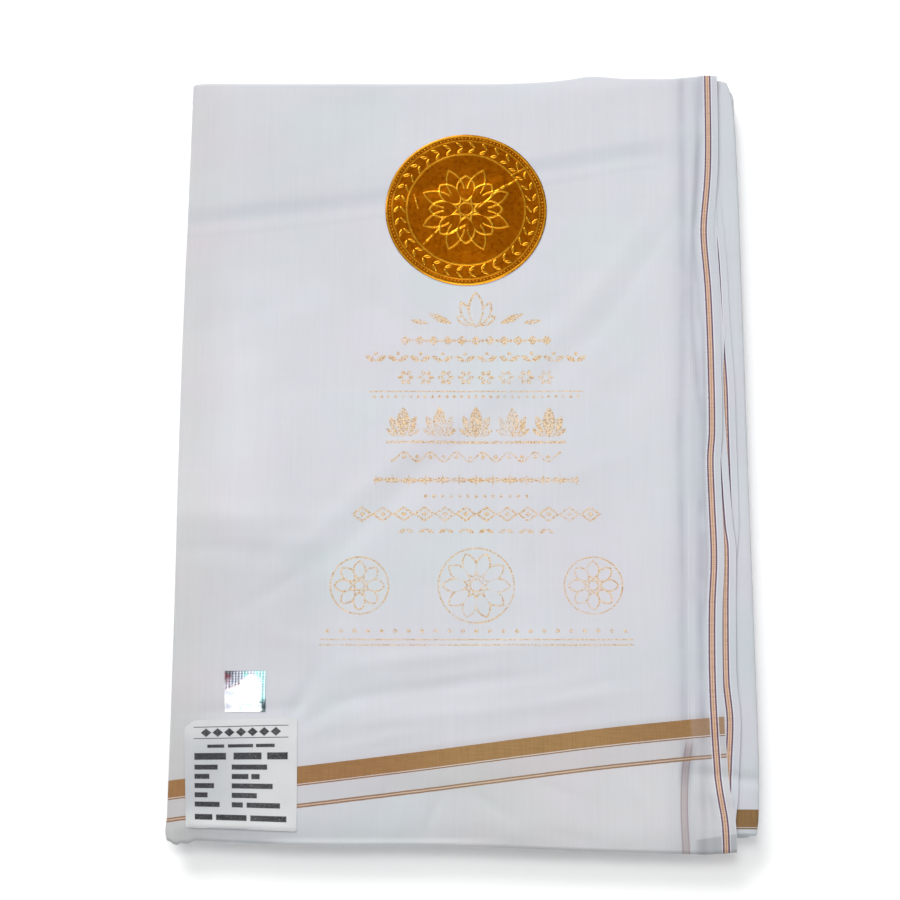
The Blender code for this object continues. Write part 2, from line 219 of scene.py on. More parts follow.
def mesh_from_nodes(name, group, values):
    """The plain mesh that a Geometry Nodes group makes with these values of its named inputs."""
    holder = bpy.data.objects.new(name + "_maker", bpy.data.meshes.new(name + "_maker"))
    bpy.context.scene.collection.objects.link(holder)
    modifier = holder.modifiers.new("maker", "NODES")
    modifier.node_group = group
    for item in group.interface.items_tree:
        if item.item_type == "SOCKET" and item.in_out == "INPUT":
            modifier[item.identifier] = values[item.name]
    holder.update_tag()
    bpy.context.view_layer.update()
    evaluated = holder.evaluated_get(bpy.context.evaluated_depsgraph_get())
    mesh = bpy.data.meshes.new_from_object(evaluated)
    mesh.name = name
    bpy.data.objects.remove(holder, do_unlink=True)
    return mesh


def show(name, mesh, node):
    """Puts a finished mesh in the scene as a piece that stands for a CAD node."""
    piece = bpy.data.objects.new(name, mesh)
    bpy.context.scene.collection.objects.link(piece)
    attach(piece, "root")
    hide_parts(node)
    return piece


def make_weave_group():
    """Fine plain weave: uneven yarns both ways. Gives the cloth's shade, and its height for a bump."""
    group, start, end = new_group(
        "cotton_weave", "ShaderNodeTree",
        [("Vector", "Vector", None), ("Streaks", "Float", 1.0), ("Clouding", "Float", 1.0)],
        [("Shade", "Float"), ("Tint", "Float"), ("Height", "Float")],
    )
    warp, thick_warp, weft, clouds, grain, hue = (
        drawn_out(group, start["Vector"], (scale_x, scale_y, min(scale_x, scale_y)), detail,
                  (seed, seed * 0.7, seed * 1.3), Roughness=0.55)
        for scale_x, scale_y, detail, seed in (
            (1150.0, 22.0, 2.0, 3.0), (520.0, 11.0, 2.0, 5.0), (17.0, 620.0, 2.0, 7.0),
            (23.0, 29.0, 4.0, 11.0), (2300.0, 2300.0, 1.0, 13.0), (13.0, 19.0, 3.0, 17.0),
        )
    )
    streaks = (warp * 0.055 + thick_warp * 0.030 + weft * 0.022) * start["Streaks"]
    feed(end, {
        "Shade": streaks + clouds * start["Clouding"] * 0.075 + grain * 0.050 + 1.0,
        "Tint": hue,
        "Height": warp * 0.5 + weft * 0.45 + grain * 0.5,
    })
    return group


WEAVE = make_weave_group()


class Cloth:
    """A cotton material that is built up in steps: the weave first, then what is woven in or printed on."""

    def __init__(self, name, streaks=1.0, clouding=1.0, bump=0.30):
        self.material, self.tree, self.shader, self.place = new_material(name, {
            "Roughness": 0.86, "Sheen Weight": 0.12, "Sheen Roughness": 0.45, "Specular IOR Level": 0.22,
        })
        self.bump = bump
        self.weave = put(self.tree, "ShaderNodeGroup", {
            "Vector": self.place, "Streaks": streaks, "Clouding": clouding,
        }, node_tree=WEAVE).outputs
        tint = Measure(self.tree, self.weave["Tint"]).math("MULTIPLY_ADD", 3.0, 0.5, clamp=True)
        self.colour = graded(self.tree, tint, [
            (place, [value * share for value, share in zip(COTTON, hue)])
            for place, hue in enumerate((ROSY, GREENISH))
        ]).outputs["Color"]

    def stored(self, name):
        """A measure that is stored on the mesh."""
        return stored_on(self.tree, name)

    def object_place(self):
        """Object coordinates, in millimetres."""
        return [part * METRE for part in parts_of(self.tree, self.place)]

    def lay(self, colour, share, blend="MIX"):
        """Mixes a colour over what is there."""
        self.colour = mixed(self.tree, share, self.colour, colour, blend)

    def tint(self, colour, *windows):
        """Multiplies a colour in where windows overlap: (measure, where it starts, where it is full)."""
        shares = [measure.eased(start, full) for measure, start, full in windows]
        self.lay(colour, reduce(Measure.__mul__, shares), "MULTIPLY")

    def lay_group(self, group, inputs, share=None):
        """Lays what a group gives over what is there, and gives how much it covers."""
        laid = put(self.tree, "ShaderNodeGroup", {"Vector": self.place, **inputs}, node_tree=group)
        cover = Measure(self.tree, laid.outputs["Cover"])
        self.lay(laid.outputs["Colour"], cover * share if share else cover)
        return cover

    def lay_thin_side_and_shade(self, share=1.0):
        """Towards the right fewer layers lie below, and the cloth is greyer: partly the thinner stack showing
        through, partly painted shade of the trough there. Gives the measure across.
        """
        x, y, _ = self.object_place()
        straight = x - y * 0.029
        self.lay((0.89, 0.90, 0.915), straight.eased(114.0, 130.0) * share, "MULTIPLY")
        return straight

    def finish(self):
        """Multiplies the yarns' shade in, and wires colour and bump to the shader."""
        self.lay(grey_of(self.tree, self.weave["Shade"]), 1.0, "MULTIPLY")
        feed(self.shader, {
            "Base Color": self.colour,
            "Normal": bumped(self.tree, self.weave["Height"], self.bump, YARN_HEIGHT),
        })
        return self.material


def make_fold_tree():
    """Geometry Nodes for the pile's sides: a grid laid round the outline and up the rim, with its bulges."""
    group, start, end = new_group(
        "folded_sides", "GeometryNodeTree",
        [("Width", "Float", 0.32), ("Length", "Float", 0.45), ("Centre", "Vector", None),
         ("Corner", "Float", 0.006), ("Rim Height", "Float", 0.012), ("Rim Height Right", "Float", 0.012),
         ("Side Folds", "Int", 14), ("End Folds", "Int", 8), ("Side Waver", "Float", 0.001),
         ("End Waver", "Float", 0.002), ("Columns", "Int", 500), ("Rows", "Int", 120),
         ("Seed", "Float", 1.0), ("Material", "Material", None)],
        [("Geometry", "Geometry")],
    )
    oblong = put(group, "GeometryNodeCurvePrimitiveQuadrilateral",
                 {"Width": start["Width"], "Height": start["Length"]})
    rounded = put(group, "GeometryNodeFilletCurve",
                  {"Curve": oblong.outputs[0], "Count": 12, "Radius": start["Corner"]}, mode="POLY")
    outline = through(group, rounded.outputs[0], "SetPosition", {"Offset": start["Centre"]})
    grid = put(group, "GeometryNodeMeshGrid",
               {"Size X": 1.0, "Size Y": 1.0, "Vertices X": start["Columns"], "Vertices Y": start["Rows"]})
    grid_x, grid_y, _ = parts_of(group, put(group, "GeometryNodeInputPosition").outputs[0])
    up_share = grid_y + 0.5
    sample = put(group, "GeometryNodeSampleCurve", {"Curves": outline, "Factor": grid_x + 0.5}, mode="FACTOR")
    tangent_x, out_x, _ = parts_of(group, sample.outputs["Tangent"])
    out_y = -tangent_x
    at_end = out_y * out_y
    x, y, _ = parts_of(group, sample.outputs["Position"])
    seed = Measure(group, start["Seed"])

    def waver(layer, scale):
        """A smooth wandering of each layer along the outline, about zero."""
        return mottled(group, vector_of(group, x * scale, y * scale, layer * 3.71 + seed), 1.0) - 0.5

    level = waver(seed, 14.0) * (up_share - up_share * up_share) * 0.42 + up_share

    def bulges(count, reach, scale):
        """The bulge of each of so many folds, wavering in and out, with its number and how far out it is."""
        folds = Measure(group, start[count])
        counted = level * folds
        layer = counted.math("FLOOR").least(folds - 1.0).most(0.0)
        inside = (counted - layer) * 2.0 - 1.0
        rise = (-(inside * inside) + 1.0).most(0.0).math("SQRT")
        pitch = Measure(group, start["Rim Height"]) / folds
        return rise * pitch * 0.85 + waver(layer, scale) * start[reach] * 2.4, layer, rise

    bulge, layer, out_of_cleft = (
        at_side * (-at_end + 1.0) + at_the_end * at_end
        for at_side, at_the_end in zip(bulges("Side Folds", "Side Waver", 19.0),
                                       bulges("End Folds", "End Waver", 23.0))
    )
    rim = Measure(group, start["Rim Height Right"]) - start["Rim Height"]
    z = up_share * (rim * x.eased(0.02, 0.15) + start["Rim Height"])
    sides = grid.outputs[0]
    for title, value in (("layer", layer), ("end_share", at_end), ("out_of_cleft", out_of_cleft)):
        sides = through(group, sides, "StoreNamedAttribute", {"Name": title, "Value": value},
                        data_type="FLOAT", domain="POINT")
    point = vector_of(group, x + out_x * bulge, y + out_y * bulge, z)
    sides = through(group, sides, "SetPosition", {"Position": point})
    sides = through(group, sides, "MergeByDistance", {"Distance": 0.00001})
    sides = through(group, sides, "SetShadeSmooth")
    sides = through(group, sides, "RealizeInstances")
    feed(end, {"Geometry": through(group, sides, "SetMaterial", {"Material": start["Material"]})})
    return group


pile_cloth = Cloth("pile_cotton", streaks=0.8, clouding=1.2, bump=0.4)
pick = put(pile_cloth.tree, "ShaderNodeTexWhiteNoise", {"W": pile_cloth.stored("layer")},
           noise_dimensions="1D")
layer_pick = Measure(pile_cloth.tree, pick.outputs["Value"])
# The woven border lies at the right end of each fold of the length.
tick_place = pile_cloth.object_place()[0] + (layer_pick - 0.5) * TICK_SCATTER - TICK_PLACE
tick = (-(abs(tick_place) - TICK_HALF)).eased(-0.3, 0.3) * pile_cloth.stored("end_share").eased(0.6, 0.95)
core = (-(abs(tick_place) - TICK_CORE_HALF)).eased(-0.2, 0.2)
pile_cloth.lay((0.17, 0.085, 0.16), tick * 0.75)
pile_cloth.lay((0.55, 0.34, 0.20), tick * core * 0.8)
pile_cloth.lay(grey_of(pile_cloth.tree, layer_pick * 0.06 + 0.95), 1.0, "MULTIPLY")
# Between the folds the cloth is painted darker: painted shade in the clefts.
pile_cloth.tint((0.70, 0.70, 0.72), (pile_cloth.stored("out_of_cleft"), 0.75, 0.10))

pile = mesh_from_nodes("folded_pile", make_fold_tree(), {
    "Width": PILE_RIGHT - PILE_LEFT, "Length": PILE_FAR - PILE_NEAR,
    "Centre": ((PILE_LEFT + PILE_RIGHT) / 2, (PILE_NEAR + PILE_FAR) / 2, 0.0),
    "Corner": PILE_CORNER, "Rim Height": PILE_RIM, "Rim Height Right": PILE_RIM_RIGHT,
    "Side Folds": SIDE_FOLDS, "End Folds": END_FOLDS, "Side Waver": SIDE_WAVER, "End Waver": END_WAVER,
    "Columns": PILE_COLUMNS, "Rows": PILE_ROWS, "Seed": 4.0, "Material": pile_cloth.finish(),
})

TOP_STEPS = (  # up to the plies: inset at the left, right, near and far, and height
    (0.007, 0.006, 0.009, 0.009, 0.0135),
    (0.014, 0.012, 0.020, 0.020, 0.0148),
    (0.026, 0.052, 0.034, 0.034, 0.0156),
    (0.034, 0.060, 0.044, 0.044, 0.0168),
)


def close_pile(mesh):
    """Closes the pile underneath, flat, and on top, where it rises to the plies that cover it."""
    body = bmesh.new()
    body.from_mesh(mesh)
    loops = []
    for edge in body.edges:
        edge.tag = edge.is_boundary
    while any(edge.tag for edge in body.edges):
        first = next(edge for edge in body.edges if edge.tag)
        first.tag = False
        loop = [first.verts[0], first.verts[1]]
        while step := next((edge for edge in loop[-1].link_edges if edge.tag), None):
            step.tag = False
            loop.append(step.other_vert(loop[-1]))
        loops.append(loop[:-1])
    floor_loop, rim_loop = sorted(loops, key=lambda loop: loop[0].co.z)
    body.faces.new(floor_loop)
    for left, right, near, far, height in TOP_STEPS:
        ring = []
        for vert in rim_loop:
            share_x = (vert.co.x - PILE_LEFT) / (PILE_RIGHT - PILE_LEFT)
            share_y = (vert.co.y - PILE_NEAR) / (PILE_FAR - PILE_NEAR)
            ring.append(body.verts.new((
                PILE_LEFT + left + share_x * (PILE_RIGHT - right - PILE_LEFT - left),
                PILE_NEAR + near + share_y * (PILE_FAR - far - PILE_NEAR - near),
                height,
            )))
        for k in range(len(ring)):
            after = (k + 1) % len(ring)
            body.faces.new((rim_loop[k], rim_loop[after], ring[after], ring[k]))
        rim_loop = ring
    body.faces.new(rim_loop)
    bmesh.ops.recalc_face_normals(body, faces=body.faces)
    for face in body.faces:
        face.smooth = len(face.verts) == 4
    body.to_mesh(mesh)
    body.free()


close_pile(pile)
pile_piece = show("folded_pile", pile, "hidden_folds")


# ---------------------------------------------------------------------------------------------------------
# The centre fold of the width: the outermost strip on the right. It is plain cotton with its own tan end
# band, turned under round a soft lip at its right, near and far edges.

MM = 0.001
PILE_TOP = 0.01780          # the top ply's outer face, over the pile's middle
SHEET_THICK = 0.00035
LIP, LOWER_LIP = 0.0021, 0.0016     # outer radius of the fold lips
LOWER_INSET = 0.0018        # of the lower fold's face, inside its outline
LOWER_LEFT = 0.1180         # where it goes under the plies above
SHOULDER_WIDTH, SHOULDER_DROP = 0.016, 0.0019
PLY_STEP = 0.00048          # from one ply's face down to the next
LOWER_BAND = -0.2075        # the inner edge of its end band, along y

LOWER_FOLD_EDGE = (  # along y, edge x
    (-222, 161.4), (-208, 162.9), (-186, 163.9), (-100, 163.9), (60, 163.8), (150, 163.8), (184, 163.5),
    (204, 163), (214, 162.4), (224, 160.7), (230, 158.8),
)
LOWER_NEAR = (  # along x, edge y
    (110, -220), (163, -221.8),
)
LOWER_FAR = (  # along x, edge y
    (110, 226.5), (148, 228.2), (153.7, 229.8), (159.5, 228.6), (164, 226.4),
)

# The creases that were pressed into the cloth, in millimetres. Each is a line of points, with its width, to
# where it fades, and its rise at each of them, below zero for a trough.
CREASES = (
    # (x, y, width, rise), ...
    ((130, 166, 8, 0.2), (104, 131, 9, 0.42), (66, 79, 12, 0.56), (30, 44, 17, 0.46), (-2, 18, 18, 0.64),
     (-36, -4, 16, 0.56), (-62, -31, 13, 0.8), (-88, -58, 12, 0.5), (-112, -74, 12, 0)),
    ((135, 154, 7, -0.1), (112, 120, 8, -0.4), (79, 70, 11, -0.48), (40, 32, 15, -0.42), (12, 9, 17, -0.56),
     (-25, -15, 14, -0.6), (-50, -42, 12, -0.78), (-76, -68, 12, -0.4), (-92, -84, 12, 0)),
    ((-164, -38, 13, 0.62), (-120, -42, 13, 0.56), (-84, -43, 13, 0.3), (-66, -42, 12, 0)),
    ((-164, -57, 14, -0.7), (-120, -62, 13, -0.62), (-88, -66, 12, -0.2)),
    ((-74, -62, 9, 0), (-98, -79, 9, -0.62), (-126, -96, 10, -0.4), (-146, -106, 10, 0)),
    ((-84, -136, 9, 0), (-58, -127, 9, 0.56), (0, -121, 10, 0.74), (52, -113, 11, 0.46), (86, -108, 12, 0)),
    ((-86, -152, 7, 0), (-50, -144, 8, -0.6), (-8, -139, 9, -0.84), (34, -134, 9, -0.58), (74, -126, 10, 0)),
    ((-82, -166, 7, 0), (-44, -158, 9, 0.62), (10, -154, 10, 0.66), (64, -146, 10, 0.6), (112, -141, 9, 0)),
    ((-162, 138, 14, -0.46), (-60, 152, 15, -0.5), (40, 172, 13, -0.46), (118, 186, 10, 0)),
    ((-156, -154, 7, -0.2), (-128, -153, 7, -0.66), (-96, -152, 7, -0.6), (-86, -148, 7, 0)),
    ((-10, -194, 5, 0), (-15, -207, 6, -0.66), (-21, -221, 6, -0.3)),
    ((0, -193, 6, 0), (12, -203, 7, -0.56), (30, -214, 8, -0.3)),
    ((122, -170, 6, -0.3), (124, -80, 6.5, -0.44), (126, 10, 6.5, -0.36), (129, 110, 7, -0.46),
     (131.5, 232, 6.5, -0.44)),
    ((137.5, 228, 4.4, 0.46), (137, 190, 4.8, 0.3), (134.3, 130, 4.4, 0.5), (132.6, 60, 4, 0.22),
     (131.1, 8, 4, 0.44), (129, -60, 4.8, 0.52), (128, -124, 4.4, 0.3)),
    ((142, 160, 4, 0.1), (139.4, 96, 4.2, 0.44), (137.6, 20, 4, 0.3), (138, -70, 3.8, 0.36),
     (137, -120, 3.6, 0)),
    ((142.6, 231, 3.6, -0.44), (141.4, 196, 3.8, -0.5), (139, 166, 4, -0.36), (134.6, 112, 4, -0.46),
     (134.2, 78, 3.8, -0.36), (138, 12, 3.6, -0.4), (135.2, -44, 3.6, -0.3), (133.4, -112, 3.6, -0.34)),
    ((112, -186, 7, 0), (136, -188.6, 6, -1.2), (158, -191, 6, -1.35), (166, -192, 6, -1)),
    ((118, -196, 6, 0), (138, -200, 6, 0.55), (156, -203, 6, 0.35)),
    ((-156, -216, 5, 0.35), (-136, -216.5, 5, 0.8), (-104, -217.5, 5, 0.6), (-84, -218, 5, 0)),
    ((44, 222, 14, 0), (66, 222, 16, 0.62), (96, 222, 16, 0.62), (118, 222, 14, 0)),
    ((150, 116, 3, -0.1), (158, 114, 3.4, -0.34), (165, 113, 3.4, -0.4)),
    ((150, 101, 3, 0), (158, 100, 3.6, -0.3), (165, 100, 3.6, -0.34)),
    ((151, 206, 4, 0), (158, 203, 4, -0.26), (165, 202, 4, -0.26)),
)

# The slight unevenness of pressed cloth over many layers, and of each ply on its own: waves in a metre
# across, along, and height in millimetres.
PILE_WAVES = ((15.0, 12.0, 0.80), (37.0, 27.0, 0.52), (80.0, 60.0, 0.17))
PLY_WAVES = ((60.0, 38.0, 0.06), (150.0, 80.0, 0.03))


def line_at(rows, along):
    """Where a smooth line through the rows is at each place along it, in metres."""
    places, edges = np.array(rows).T
    along = np.clip(np.asarray(along, float) / MM, places[0], places[-1])
    i = np.clip(np.searchsorted(places, along, side="right") - 1, 0, len(places) - 2)
    before, after = np.maximum(i - 1, 0), np.minimum(i + 2, len(places) - 1)
    span = places[i + 1] - places[i]
    slope_in = (edges[i + 1] - edges[before]) / (places[i + 1] - places[before]) * span
    slope_out = (edges[after] - edges[i]) / (places[after] - places[i]) * span
    t = (along - places[i]) / span
    start = (1 + 2 * t) * (1 - t) ** 2 * edges[i] + t * (1 - t) ** 2 * slope_in
    end = t * t * (3 - 2 * t) * edges[i + 1] + t * t * (t - 1) * slope_out
    return (start + end) * MM


def crease_rise(x, y, creases):
    """How far the creases lift or lower the cloth."""
    total = np.zeros(np.broadcast(x, y).shape)
    for points in creases:
        fade, rise_there = np.full(total.shape, np.inf), total * 0.0
        for (from_x, from_y, *start), (to_x, to_y, *end) in zip(points, points[1:]):
            run_x, run_y = (to_x - from_x) * MM, (to_y - from_y) * MM
            share = ((x - from_x * MM) * run_x + (y - from_y * MM) * run_y) / (run_x ** 2 + run_y ** 2)
            held = np.clip(share, 0.0, 1.0)
            width, rise = (a + (b - a) * held for a, b in zip(start, end))
            away = np.hypot(x - from_x * MM - run_x * held, y - from_y * MM - run_y * held) / (width * MM)
            rise_there = np.where(away < fade, rise, rise_there)
            fade = np.minimum(away, fade)
        total += rise_there * MM * np.exp(-4 * fade * fade)
    return total


def shoulder(distance, share=1.0):
    """How far the pile has rounded down at this distance from a folded edge."""
    return SHOULDER_DROP * share * np.maximum(0.0, 1 - distance / (SHOULDER_WIDTH * share)) ** 2


def waves(x, y, seed, sizes):
    """Smooth unevenness, the sum of waves of these sizes."""
    flat = np.broadcast_arrays(x, y)
    places = list(zip(flat[0].ravel(), flat[1].ravel()))
    total = np.zeros(len(places))
    for k, (count_x, count_y, rise) in enumerate(sizes):
        total += [rise * noise.noise(Vector((px * count_x, py * count_y, seed + 5 * k))) for px, py in places]
    return total.reshape(flat[0].shape) * MM


def pressed(x, y):
    """The rise of the large creases and waves, which every ply shares."""
    return crease_rise(x, y, CREASES) + waves(x, y, 2.0, PILE_WAVES)


def stations(before, shares, after):
    """Places across a ply: the share of the way across, and the turn round a fold lip at either end."""
    turns = [radians(165) * step / 8 for step in range(1, 9)]
    line = [(shares[0], -turn) for turn in reversed(turns)] if before else []
    line += [(share, 0.0) for share in shares]
    return np.array(line + ([(shares[-1], turn) for turn in turns] if after else []))


def evenly(count, start=0.0, end=1.0):
    return [start + (end - start) * k / count for k in range(count + 1)]


def folded_ply(columns, rows, left, right, near, far, height, lip=LIP):
    """A grid of points over a ply's outer face: x, y, z arrays."""
    share_x, turn_x = columns[:, 0][None, :], columns[:, 1][None, :]
    share_y, turn_y = rows[:, 0][:, None], rows[:, 1][:, None]
    zero = np.zeros((1, 1))
    x = left(zero) + (right(zero) - left(zero)) * share_x
    for _ in range(2):
        y = near(x) + (far(x) - near(x)) * share_y
        x = left(y) + (right(y) - left(y)) * share_x
    turn = np.maximum(np.abs(turn_x), np.abs(turn_y))
    length = np.maximum(np.hypot(turn_x, turn_y), 1e-9)
    z = height(x, y) - lip * (1 - np.cos(turn))
    return x + turn_x / length * lip * np.sin(turn), y + turn_y / length * lip * np.sin(turn), z


def finished_mesh(name, verts, faces, material, measures, crisp):
    """A smooth mesh that stores measures by name, with edges past the crisp angle left sharp."""
    mesh = bpy.data.meshes.new(name)
    mesh.from_pydata(verts.tolist(), [], faces)
    mesh.materials.append(material)
    for title, values in measures.items():
        stored = mesh.attributes.new(title, "FLOAT", "POINT")
        stored.data.foreach_set("value", values.astype(np.float32))
    mesh.shade_smooth()
    mesh.set_sharp_from_angle(angle=radians(crisp))
    return mesh


def thin_sheet(name, x, y, z, material, measures):
    """A closed sheet under a grid of points. measures are stored on it by name, in millimetres."""
    points = np.stack([x, y, z], axis=-1)
    normals = np.cross(np.gradient(points, axis=1), np.gradient(points, axis=0))
    normals /= np.linalg.norm(normals, axis=-1, keepdims=True)
    rows, columns = x.shape
    count = rows * columns
    verts = np.concatenate([points.reshape(-1, 3), (points - normals * SHEET_THICK).reshape(-1, 3)])
    ids = np.arange(count).reshape(rows, columns)
    quads = np.stack([ids[:-1, :-1], ids[:-1, 1:], ids[1:, 1:], ids[1:, :-1]], axis=-1).reshape(-1, 4)
    rim = np.concatenate([ids[0, :-1], ids[:-1, -1], ids[-1, :0:-1], ids[:0:-1, 0]])
    after = np.roll(rim, -1)
    sides = np.stack([rim + count, after + count, after, rim], axis=-1)
    faces = np.concatenate([quads, quads[:, ::-1] + count, sides])
    both = {title: np.tile(np.broadcast_to(values, x.shape).reshape(-1) / MM, 2)
            for title, values in measures.items()}
    return finished_mesh(name, verts, faces.tolist(), material, both, crisp=60)


TAN = (0.293, 0.169, 0.066)
PALE_YARN = (0.62, 0.60, 0.57)
BROWN_YARN = (0.235, 0.130, 0.055)
SAND_YARN = (0.50, 0.38, 0.27)
OFF_YARN = (0.6, 0.6, 0.6)  # fades out to the plain cloth
BAND_SPAN = 25.0
BAND_STOPS = (  # millimetres beyond the inner edge, colour, how much it covers
    (0.0, TAN, 0.0), (0.12, TAN, 1.0), (9.6, TAN, 1.0), (9.75, PALE_YARN, 0.8), (10.0, PALE_YARN, 0.8),
    (10.15, BROWN_YARN, 1.0), (10.7, BROWN_YARN, 1.0), (11.0, OFF_YARN, 0.0),
    (20.35, OFF_YARN, 0.0), (20.6, BROWN_YARN, 0.95), (21.2, BROWN_YARN, 0.95),
    (21.45, SAND_YARN, 0.75), (21.95, SAND_YARN, 0.80), (22.15, BROWN_YARN, 0.95),
    (22.8, BROWN_YARN, 0.95), (23.1, OFF_YARN, 0.0), (24.9, OFF_YARN, 0.0),
)


def woven(group, end, measure, span, stops, tone):
    """Ends a group of woven stripes: their colours by a measure, toned yarn by yarn."""
    ramp = graded(group, measure / span, [(place / span, *stop) for place, *stop in stops])
    toned = put(group, "ShaderNodeVectorMath", {0: ramp.outputs["Color"], "Scale": tone}, operation="SCALE")
    feed(end, {"Colour": toned.outputs[0], "Cover": ramp.outputs["Alpha"]})
    return group


def make_end_band_group():
    """The woven band at the cloth's end, by how far a place is beyond the band's inner edge."""
    group, start, end = new_group(
        "woven_end_band", "ShaderNodeTree",
        [("Beyond", "Float", 0.0), ("Vector", "Vector", None), ("Depth", "Float", 1.0)],
        [("Colour", "Color"), ("Cover", "Float")],
    )
    place = start["Vector"]
    ragged = drawn_out(group, place, (1700.0, 130.0, 60.0)) * 0.5
    beyond = Measure(group, start["Beyond"]) + ragged + 0.25
    streak = drawn_out(group, place, (1100.0, 60.0, 60.0), 3.0)
    thread = drawn_out(group, place, (90.0, 1500.0, 60.0))
    tone = (streak * 0.38 + thread * 0.42 + 1.0) * start["Depth"]
    return woven(group, end, beyond, BAND_SPAN, BAND_STOPS, tone)


END_BAND = make_end_band_group()


def lower_face(x, y):
    """The height of the lower fold's outer face."""
    from_edge = line_at(LOWER_FOLD_EDGE, y) - x
    ends = np.hypot(shoulder(y - line_at(LOWER_NEAR, x)), shoulder(line_at(LOWER_FAR, x) - y))
    rise = pressed(x, y) + waves(x * 1.5, y, 40.0, PLY_WAVES)
    return PILE_TOP - 3 * PLY_STEP + rise - ends / 2 - shoulder(from_edge) / 3


lower_cloth = Cloth("lower_fold_cotton")
lower_cloth.lay_thin_side_and_shade(0.45)
lower_cloth.lay_group(END_BAND, {"Beyond": lower_cloth.stored("beyond_band"), "Depth": 0.72})
lower_x, lower_y, lower_z = folded_ply(
    stations(False, evenly(22), True), stations(True, evenly(190), True),
    left=lambda y: LOWER_LEFT + 0 * y,
    right=lambda y: line_at(LOWER_FOLD_EDGE, y) - LOWER_INSET,
    near=lambda x: line_at(LOWER_NEAR, x) + LOWER_INSET,
    far=lambda x: line_at(LOWER_FAR, x) - LOWER_INSET,
    height=lower_face, lip=LOWER_LIP,
)
lower_mesh = thin_sheet("lower_fold_cloth", lower_x, lower_y, lower_z, lower_cloth.finish(),
                        {"beyond_band": LOWER_BAND - lower_y})
lower_piece = show("lower_fold_cloth", lower_mesh, "lower_fold")


# ---------------------------------------------------------------------------------------------------------
# The third and second plies: strips of cotton that end in a selvedge, with the narrow border woven in
# beside it, gold between two maroon lines. Each lies in the creases of the ply above.

LEFT_FOLD = (  # along y, edge x
    (-227, -162), (-219, -163.5), (-210, -162.9), (-100, -162.8), (-40, -163.3), (30, -163.6),
    (100, -163.4), (160, -162.8), (231, -162.4),
)
NEAR_FOLD = (  # along x, edge y
    (-163, -222.9), (-157.5, -226.6), (-154.5, -225.2), (-151.5, -225.9), (-147, -224.2), (-135, -224.6),
    (-80, -226.8), (-15, -227), (30, -228.4), (60, -229.6), (125, -231.5), (133, -231.7), (141, -231.3),
    (150, -230.6),
)
FAR_FOLD = (  # along x, edge y
    (-163, 226.9), (-20, 226.9), (20, 227), (45, 227.8), (64, 229.6), (74, 231.4), (84, 231.3), (96, 230.3),
    (113, 230.3), (125, 230.4), (138, 231.4), (145, 232.3), (154, 231.9),
)
TOP_SELVEDGE = (  # along y, edge x
    (-231, 150), (-214, 149.4), (-196, 146.9), (-172, 145.6), (-136, 144.9), (-96, 145.9), (-66, 147.9),
    (-34, 147.7), (-8, 147.6), (8, 149), (40, 149.5), (94, 149.3), (124, 147.8), (136, 148), (166, 151.1),
    (190, 152.2), (231, 152.9),
)
SECOND_SELVEDGE = (  # along y, edge x
    (-231, 149), (-215, 149.4), (-200, 151.3), (-182, 152.5), (-158, 154), (-136, 152.6), (-97, 153.3),
    (-60, 154.6), (-47, 153.4), (-20, 152.3), (11, 151.1), (27, 150.7), (46, 150.8), (56, 151.5),
    (66, 151.9), (79, 151.3), (107, 150.3), (126, 149.8), (157, 150), (175, 150), (231, 150),
)
THIRD_SELVEDGE = (  # along y, edge x
    (-231, 149), (-120, 152), (-80, 153.6), (-55, 156.2), (-40, 157), (11, 157), (36, 157), (63, 156),
    (79, 155.5), (107, 155), (120, 154.5), (143, 152.9), (165, 151.2), (231, 150.5),
)
STRIP_LEFT, STRIP_NEAR = 0.1190, -0.2180    # where the strips go under the plies above
MAROON = (0.085, 0.040, 0.085)
PEACH = (0.565, 0.372, 0.275)
GOLD_YARN = (0.35, 0.212, 0.098)
SATIN = (0.665, 0.655, 0.70)
BORDER_SPAN = 22.0
BORDER_STOPS = (  # millimetres from the cloth's edge, colour, how much it covers
    (0.0, SATIN, 0.5), (0.7, COTTON, 0.0), (3.3, COTTON, 0.0), (3.5, SATIN, 0.75), (3.85, SATIN, 0.75),
    (4.02, MAROON, 0.92), (4.75, MAROON, 0.92), (4.95, PEACH, 0.95), (5.6, PEACH, 0.95),
    (5.75, GOLD_YARN, 0.95), (6.1, GOLD_YARN, 0.95), (6.25, PEACH, 0.95), (6.85, PEACH, 0.95),
    (7.05, MAROON, 0.92), (7.75, MAROON, 0.92), (7.95, SATIN, 0.7), (8.3, SATIN, 0.6), (8.6, COTTON, 0.0),
    (21.9, COTTON, 0.0),
)


def make_border_group():
    """The border woven along the selvedge, by how far a place is from the cloth's edge."""
    group, start, end = new_group(
        "woven_border", "ShaderNodeTree",
        [("From Selvedge", "Float", 0.0), ("Vector", "Vector", None)],
        [("Colour", "Color"), ("Cover", "Float")],
    )
    yarn = drawn_out(group, start["Vector"], (90.0, 900.0, 60.0))
    edge = Measure(group, start["From Selvedge"]) + yarn * 0.28
    wave = put(group, "ShaderNodeTexWave",
               {"Vector": start["Vector"], "Scale": 265.0, "Distortion": 1.2, "Detail": 1.0},
               bands_direction="Y")
    tone = (Measure(group, wave.outputs["Fac"]) - 0.5) * 0.16 + yarn * 0.5 + 1.0
    return woven(group, end, edge, BORDER_SPAN, BORDER_STOPS, tone)


BORDER = make_border_group()


def top_face(x, y):
    """The height of the top ply's outer face, with its large creases."""
    from_left = x - line_at(LEFT_FOLD, y)
    from_near = y - line_at(NEAR_FOLD, x)
    from_far = line_at(FAR_FOLD, x) - y
    drop = np.sqrt(shoulder(from_left) ** 2 + shoulder(from_near) ** 2 + shoulder(from_far, 0.4) ** 2)
    least = np.minimum(from_left, np.minimum(from_near, from_far))
    calm = 0.3 + 0.7 * np.clip(least / (0.5 * SHOULDER_WIDTH), 0.0, 1.0)
    return PILE_TOP - drop + pressed(x, y) * calm


